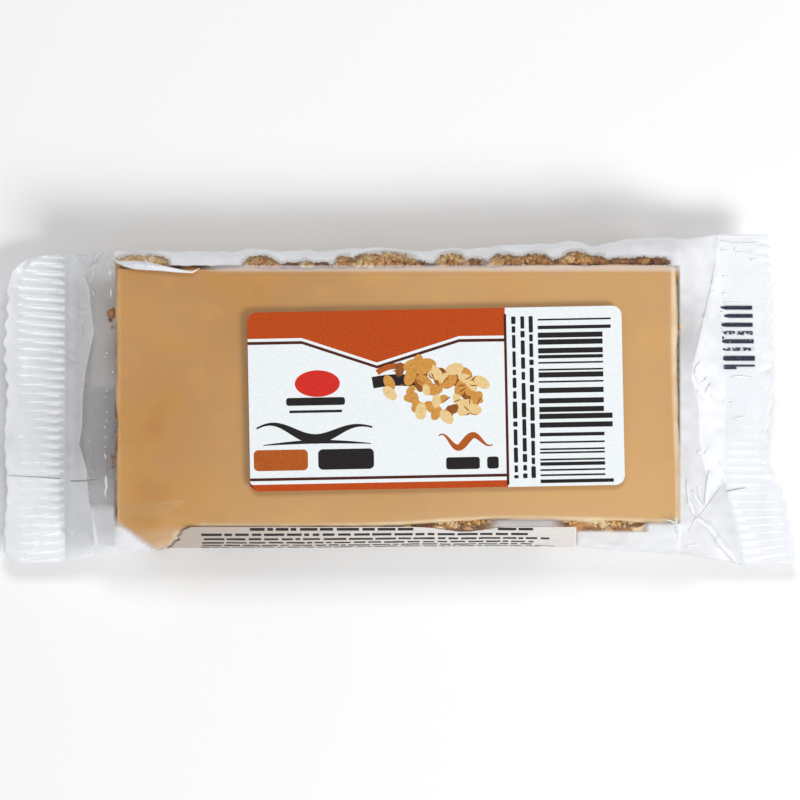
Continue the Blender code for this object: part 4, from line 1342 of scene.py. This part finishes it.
points, faces = plates([on_label(box_line(0, 0, LABEL_WIDE, LABEL_DEEP, LABEL_CORNER))], LABEL_Z,
                       LABEL_THICK)
put_mesh("top_sticker", points, faces, label_paper, smooth=False,
         node="top_label")


def print_on_label(name, outlines, ink, layer=0):
    """A thin layer of ink on the sticker, in the sticker's own x and y."""
    foot = LABEL_Z + LABEL_THICK + (layer - 0.5) * INK_THICK
    points, faces = plates([on_label(o) for o in outlines], foot, INK_THICK)
    put_mesh(name, points, faces, ink, node="top_label", smooth=False)


EDGE = LABEL_WIDE / 2
TOP = LABEL_DEEP / 2
PANEL = 13.4
BAND = ((-EDGE, 12.05), (-25.3, 12.05), (-11.1, 7.1), (4.6, 11.85), (PANEL, 11.8))
STRIPE = 0.57
corner = np.linspace(0, math.pi / 2, 7)
round_top = [(-EDGE + LABEL_CORNER * (1 - math.sin(a)), TOP - LABEL_CORNER * (1 - math.cos(a)))
             for a in corner[::-1]]
round_foot = [(x, -y) for x, y in round_top]
top_band = list(BAND[::-1]) + round_top + [(PANEL, TOP)]
foot_band = [(PANEL, -TOP), (PANEL, -15.8), (-EDGE, -15.8)] + round_foot
print_on_label("print_bands", [top_band, foot_band], orange_ink)

low_line = [(x, y - 2 * STRIPE) for x, y in BAND]
high_line = [(x, y - STRIPE) for x, y in BAND]
stripe = high_line + low_line[::-1]
print_on_label("print_stripes", [stripe, box_line((PANEL - EDGE) / 2, -14.83, PANEL + EDGE, 0.55),
                                 box_line(PANEL, -0.4, 0.5, 32.6)], dark_brown_ink)

# Plain badge, blocks and strokes where a pack carries its words
print_on_label("print_badge", [oval_line(-22.5, 3.3, 8.6, 5.1)], red_ink)
t = np.linspace(0, 1, 90)
flourish = stroke_line(-34.2 + 22.0 * t,
                       -5.9 + 1.7 * np.sin(2.6 * math.pi * t + 0.5) * (1 - 0.4 * t),
                       0.35 + 1.5 * np.sin(math.pi * t) ** 2)
swash = stroke_line(-33.0 + 20.5 * t, -8.3 + 0.5 * np.sin(math.pi * t),
                    0.15 + 0.55 * np.sin(math.pi * t))
banner_x = np.linspace(-12.0, -2.8, 20)
banner = stroke_line(banner_x, 3.2 + 0.5 * np.cos((banner_x + 7.4) / 3.2), np.full(20, 2.2))
print_on_label("print_black", [box_line(-22.9, -0.1, 11.2, 1.5, 0.5),
                               box_line(-22.9, -2.0, 10, 0.5), flourish, swash, banner,
                               box_line(-17.3, -11.2, 10.6, 3.9, 0.9),
                               box_line(4.9, -12.4, 6.4, 2.3, 0.5),
                               box_line(10.6, -12.4, 2.2, 2.3, 0.5)], black_ink)
arc = np.linspace(0.25 * math.pi, 0.75 * math.pi, 20)
crest = stroke_line(-7.4 + 5.2 * np.cos(arc), 2.2 + 5.2 * np.sin(arc) * 0.8, np.full(20, 1.1))
print_on_label("print_orange", [box_line(-29.7, -11.2, 10.3, 4.0, 0.9), crest], caramel_ink)
wave = stroke_line(0.4 + 10.2 * t, -8.2 + 1.4 * np.sin(3.4 * math.pi * t + 0.9) * (1 - 0.35 * t),
                   0.25 + 1.2 * np.sin(math.pi * t) ** 2)
print_on_label("print_wave", [wave], caramel_ink)

# A loose heap of oat flakes as the picture
picture = np.random.default_rng(8)
heaps = {"print_flakes_brown": (toasted_ink, 15, 0), "print_flakes_gold": (golden_ink, 26, 1),
         "print_flakes_pale": (pale_ink, 17, 2)}
for name, (ink, count, layer) in heaps.items():
    angle = picture.uniform(0, 2 * math.pi, count)
    reach = np.sqrt(picture.uniform(0, 1, count))
    x = 0.6 + 10.0 * reach * np.cos(angle)
    y = 1.6 + 5.2 * reach * np.sin(angle) - 0.14 * x
    size = picture.uniform(2.2, 3.8, count)
    turns = picture.uniform(0, 180, count)
    ovals = [oval_line(x[i], y[i], size[i], size[i] * 0.62, turns[i], 16) for i in range(count)]
    print_on_label(name, ovals, ink, layer)
creases = np.random.default_rng(9)
x = creases.uniform(-7.5, 8.5, 16)
y = creases.uniform(-1.8, 4.8, 16) - 0.14 * x
lines = [oval_line(x[i], y[i], 1.5, 0.22, creases.uniform(0, 180), 10) for i in range(16)]
print_on_label("print_flake_creases", lines, toasted_ink, 3)

# Rows of short dashes and a field of stripes in the right-hand panel
dashes = []
columns = np.random.default_rng(12)
for s in (15.0, 16.7, 18.3):
    t = 15.4
    while t > -15.4:
        long = columns.uniform(0.8, 3.4)
        foot = max(t - long, -15.5)
        dashes.append(box_line(s, (t + foot) / 2, columns.uniform(0.62, 0.85), t - foot, 0.2))
        t = foot - columns.uniform(0.35, 0.6)
print_on_label("print_dashes", dashes, black_ink)

MODULE = 0.33
BARS_TOP = 14.85
BARS_FOOT = -16.2
BARS_LEFT = 19.6
BARS_RIGHT = 31.9
GUARD_RIGHT = 33.5
bars = []
stripes = np.random.default_rng(77)
t = BARS_TOP
count = 0
while t > BARS_FOOT:
    bar = MODULE * stripes.integers(1, 4)
    gap = MODULE * stripes.integers(1, 4)
    guard = count in (0, 1, 13, 14) or t < -15.3
    right = GUARD_RIGHT if guard else BARS_RIGHT
    bars.append(box_line((BARS_LEFT + right) / 2, t - bar / 2, right - BARS_LEFT, bar))
    t -= bar + gap
    count += 1
print_on_label("print_bars", bars, black_ink)


# Rear sticker
# A second paper label on the underside. Its front edge comes up the front face of the bag, so
# that its first rows of print show beside the bar.

REAR_TOP_Z = 16.9
REAR_END_Y = -15.0
REAR_GAP = 0.08
REAR_THICK = 0.1
REAR_BEND = 1.0
REAR_CUT = 0.4
REAR_COLUMNS = 160
REAR_FACE = 40
REAR_UNDER = 20
REAR_DIP = 1.4
DIP_X = 12.2
DIP_HALF = 5.0


def rear_path(x, reach, off):
    """Point at this reach in mm down the rear sticker: down the front face from its top edge,
    round the foot and in under the bar, held this far off the film."""
    drop = REAR_TOP_Z - FOOT_Z
    z = REAR_TOP_Z - np.clip(reach, 0, drop)
    face_y = front_face(x, z) - off
    past = np.clip(reach - drop, 0, None)
    z = np.where(reach > drop, FOOT_Z - off * rise(0, REAR_BEND, past), z)
    return np.stack((x, face_y + past, z), -1)


reach_end = REAR_TOP_Z - FOOT_Z + (REAR_END_Y - FRONT_FOOT_Y)
reaches = np.concatenate((np.linspace(0, REAR_TOP_Z - FOOT_Z, REAR_FACE),
                          np.linspace(REAR_TOP_Z - FOOT_Z, reach_end, REAR_UNDER)[1:]))
share = np.linspace(0, 1, REAR_COLUMNS)[:, None]
fall = np.clip((TOP_Z - REAR_TOP_Z + reaches) / (TOP_Z - RUN_FOOT_Z), 0, 1)
left_end = run_edge(fall) - REAR_CUT
x = left_end + (REAR_LABEL_X[1] - left_end) * share
down = np.maximum(reaches, REAR_DIP * hump(x, DIP_X, DIP_HALF))
inner = rear_path(x, down, REAR_GAP)
outer = rear_path(x, down, REAR_GAP + REAR_THICK)
points, faces = tube(loop(outer, inner))
# The paper darkens towards its left end: painted shade
rear_paper = print_material("rear_label_paper", "#E3DEDA", "#DAD4CF", 0.6, 0.55, "#BBADA2")
put_mesh("rear_sticker", points, faces, rear_paper,
         values={"shade": rise(10, -46, points[:, 0])}, node="back_label")

ROW_PITCH = 1.6
ROW_HIGH = 0.75
ROWS = 15
FIRST_ROW_AT = 0.5
FIRST_ROW_X = -29
ROW_X = -37.9
# How far before the sticker's end a row stops, in turn, and how far from the dip the first one does
ROW_SHORT = (5.5, 7.5, 4.0)
DIP_CLEAR = 7.5
DASH_POINTS = 5
dash_rng = np.random.default_rng(5)
dash_left = []
dash_right = []
dash_at = []
for row in range(ROWS):
    cursor = (ROW_X if row else FIRST_ROW_X) + dash_rng.uniform(0, 0.6)
    end = REAR_LABEL_X[1] - ROW_SHORT[row % 3] - dash_rng.uniform(0, 1.5)
    while cursor < end - 1.5:
        wide = dash_rng.uniform(0.9, 4.6)
        if row > 0 or abs(cursor + wide / 2 - DIP_X) > DIP_CLEAR:
            dash_left.append(cursor)
            dash_right.append(min(cursor + wide, end))
            dash_at.append(FIRST_ROW_AT + ROW_PITCH * row)
        cursor += wide + dash_rng.uniform(0.4, 0.7)
left = np.array(dash_left)[:, None, None]
right = np.array(dash_right)[:, None, None]
at = np.array(dash_at)[:, None, None]
u = np.linspace(0, 1, DASH_POINTS)[None, :, None]
v = np.linspace(-0.5, 0.5, 3)[None, None, :] * ROW_HIGH
x = left + (right - left) * u + 0 * v
reach = at + v + 0 * x
outer = rear_path(x, reach, REAR_GAP + REAR_THICK + 0.02)
inner = rear_path(x, reach, REAR_GAP + REAR_THICK - 0.01)
points, faces = joined([tube(loop(o, i)) for o, i in zip(outer, inner)])
put_mesh("rear_print", points, faces, black_ink,
         smooth=False, node="back_label")


# Coding marks
# Short ink bars printed by machine on the ribbed right seal, some of them worn to specks, with a
# broken line of dots at their left ends.

# Bars: y, left x, right x, width, how much ink
MARKS = ((18.1, 61.4, 67.2, 0.7, 1.0), (16.55, 61.9, 67.3, 0.7, 0.86),
         (14.85, 61.3, 67.3, 0.75, 0.86), (13.3, 61.6, 67.3, 0.7, 0.52),
         (11.7, 61.4, 67.5, 0.75, 0.66), (10.2, 61.6, 67.5, 0.6, 0.55),
         (8.45, 61.3, 67.7, 0.9, 0.88), (7.05, 61.6, 67.7, 0.35, 0.8),
         (6.6, 61.4, 64.2, 0.4, 0.8))
MARK_DOTS = ((61.2, 18.2, 0.4), (61.2, 17.4, 0.3), (61.2, 15.3, 0.35), (61.25, 14.2, 0.4),
             (61.3, 13.7, 0.35), (61.5, 12.4, 0.6), (61.2, 9.5, 0.35), (61.3, 7.6, 0.35),
             (61.3, 6.5, 0.5), (60.4, 17.2, 0.4), (60.4, 10.8, 0.4))

MARK_SPECK_MM = 0.55
INK_DEEP = 0.03
INK_LIFT = 0.2
coding_ink, tree = new_material("worn_navy_coding_ink")
worn = point_number(tree, "ink")
specks = noise(tree, MARK_SPECK_MM, 2.0)
sum_up = add_node(tree, "ShaderNodeMath", {0: (specks, "Fac"), 1: (worn, "Fac")}, operation="ADD")
solid = add_node(tree, "ShaderNodeMapRange", {0: (sum_up, 0), 1: 0.98, 2: 1.1})
bare = add_node(tree, "ShaderNodeBsdfTransparent")
shade = ramp(tree, (specks, "Fac"), ((0.4, "#15161F"), (0.65, "#2A3656")))
blue = add_node(tree, "ShaderNodeBsdfPrincipled", {"Base Color": (shade, 0),
                                                   "Roughness": 0.4, "IOR": 1.5})
marked = add_node(tree, "ShaderNodeMixShader", {0: (solid, 0), 1: (bare, 0), 2: (blue, 0)})
put_surface(tree, marked)

marks = MARKS + tuple((y, x - size / 2, x + size / 2, size, 0.9) for x, y, size in MARK_DOTS)
parts = []
inks = []
for y0, x0, x1, deep, ink in marks:
    x = np.linspace(x0, x1, 16)[:, None]
    taper = 0.55 + 0.45 * rise(x0, x0 + 0.9, x)
    y = y0 + np.linspace(-0.5, 0.5, 6) * deep * taper
    _, _, height = seal_right(y)
    z = height + RIB_HIGH + INK_LIFT
    upper = np.stack((x + 0 * y, y, z), -1)
    parts.append(tube(loop(upper, upper - (0, 0, INK_DEEP))))
    inks.append(np.full(len(parts[-1][0]), ink))
points, faces = joined(parts)
put_mesh("coding_marks", points, faces, coding_ink, values={"ink": np.concatenate(inks)})


# Studio
# A pale table, a softbox from the front right, one high up behind for the glints, a weak wide one
# from the left and light from all round. The camera looks almost straight down through a long
# lens.

FLOOR_HALF = 4.0
ROUND_LIGHT = 0.33
floor_mesh = bpy.data.meshes.new("table")
floor_mesh.from_pydata([(-FLOOR_HALF, -FLOOR_HALF, 0), (FLOOR_HALF, -FLOOR_HALF, 0),
                        (FLOOR_HALF, FLOOR_HALF, 0), (-FLOOR_HALF, FLOOR_HALF, 0)], [],
                       [(0, 1, 2, 3)])
table = bpy.data.objects.new("table", floor_mesh)
bpy.context.scene.collection.objects.link(table)
table_paint, tree = new_material("matt_white_table")
white = add_node(tree, "ShaderNodeBsdfPrincipled", {"Base Color": (0.93, 0.93, 0.93, 1),
                                                    "Roughness": 0.9})
put_surface(tree, white)
floor_mesh.materials.append(table_paint)

world = bpy.data.worlds.new("soft_surround")
world.use_nodes = True
world.node_tree.nodes["Background"].inputs["Color"].default_value = (1, 1, 1, 1)
world.node_tree.nodes["Background"].inputs["Strength"].default_value = ROUND_LIGHT
bpy.context.scene.world = world


def softbox(name, size, watts, azimuth, elevation, distance):
    """A square area light aimed at the middle of the bar from this direction."""
    light = bpy.data.lights.new(name, "AREA")
    light.shape = "SQUARE"
    light.size = size
    light.energy = watts
    holder = bpy.data.objects.new(name, light)
    bpy.context.scene.collection.objects.link(holder)
    a = math.radians(azimuth)
    e = math.radians(elevation)
    holder.location = (distance * math.cos(e) * math.sin(a), -distance * math.cos(e) * math.cos(a),
                       distance * math.sin(e))
    holder.rotation_euler = (math.pi / 2 - e, 0, a)


# Softboxes: name, size in m, watts, azimuth and elevation in degrees, distance in m
SOFTBOXES = (("key_softbox", 0.4, 8.5, 50, 38, 1.1), ("back_softbox", 0.5, 6.8, 180, 60, 1.5),
             ("fill_softbox", 0.9, 1.0, 285, 40, 1.3))
for lamp in SOFTBOXES:
    softbox(*lamp)

PIXELS_PER_MM = 5.26
PICTURE = 800
# Camera: distance in m, and the point it looks at in the bag's millimetres
DISTANCE = 3.5
AIM = np.array((0.0, -0.52, 17.5))
camera = bpy.data.cameras.new("camera")
camera.sensor_width = 36
camera.lens = camera.sensor_width * DISTANCE / (PICTURE / PIXELS_PER_MM * MM)
camera.clip_start = 0.05
viewer = bpy.data.objects.new("camera", camera)
bpy.context.scene.collection.objects.link(viewer)
aim = (AIM + SHIFT) * MM
viewer.location = (aim[0], aim[1] - DISTANCE * math.cos(ELEVATION),
                   aim[2] + DISTANCE * math.sin(ELEVATION))
viewer.rotation_euler = (math.pi / 2 - ELEVATION, 0, 0)
bpy.context.scene.camera = viewer
bpy.context.scene.view_settings.view_transform = "Standard"
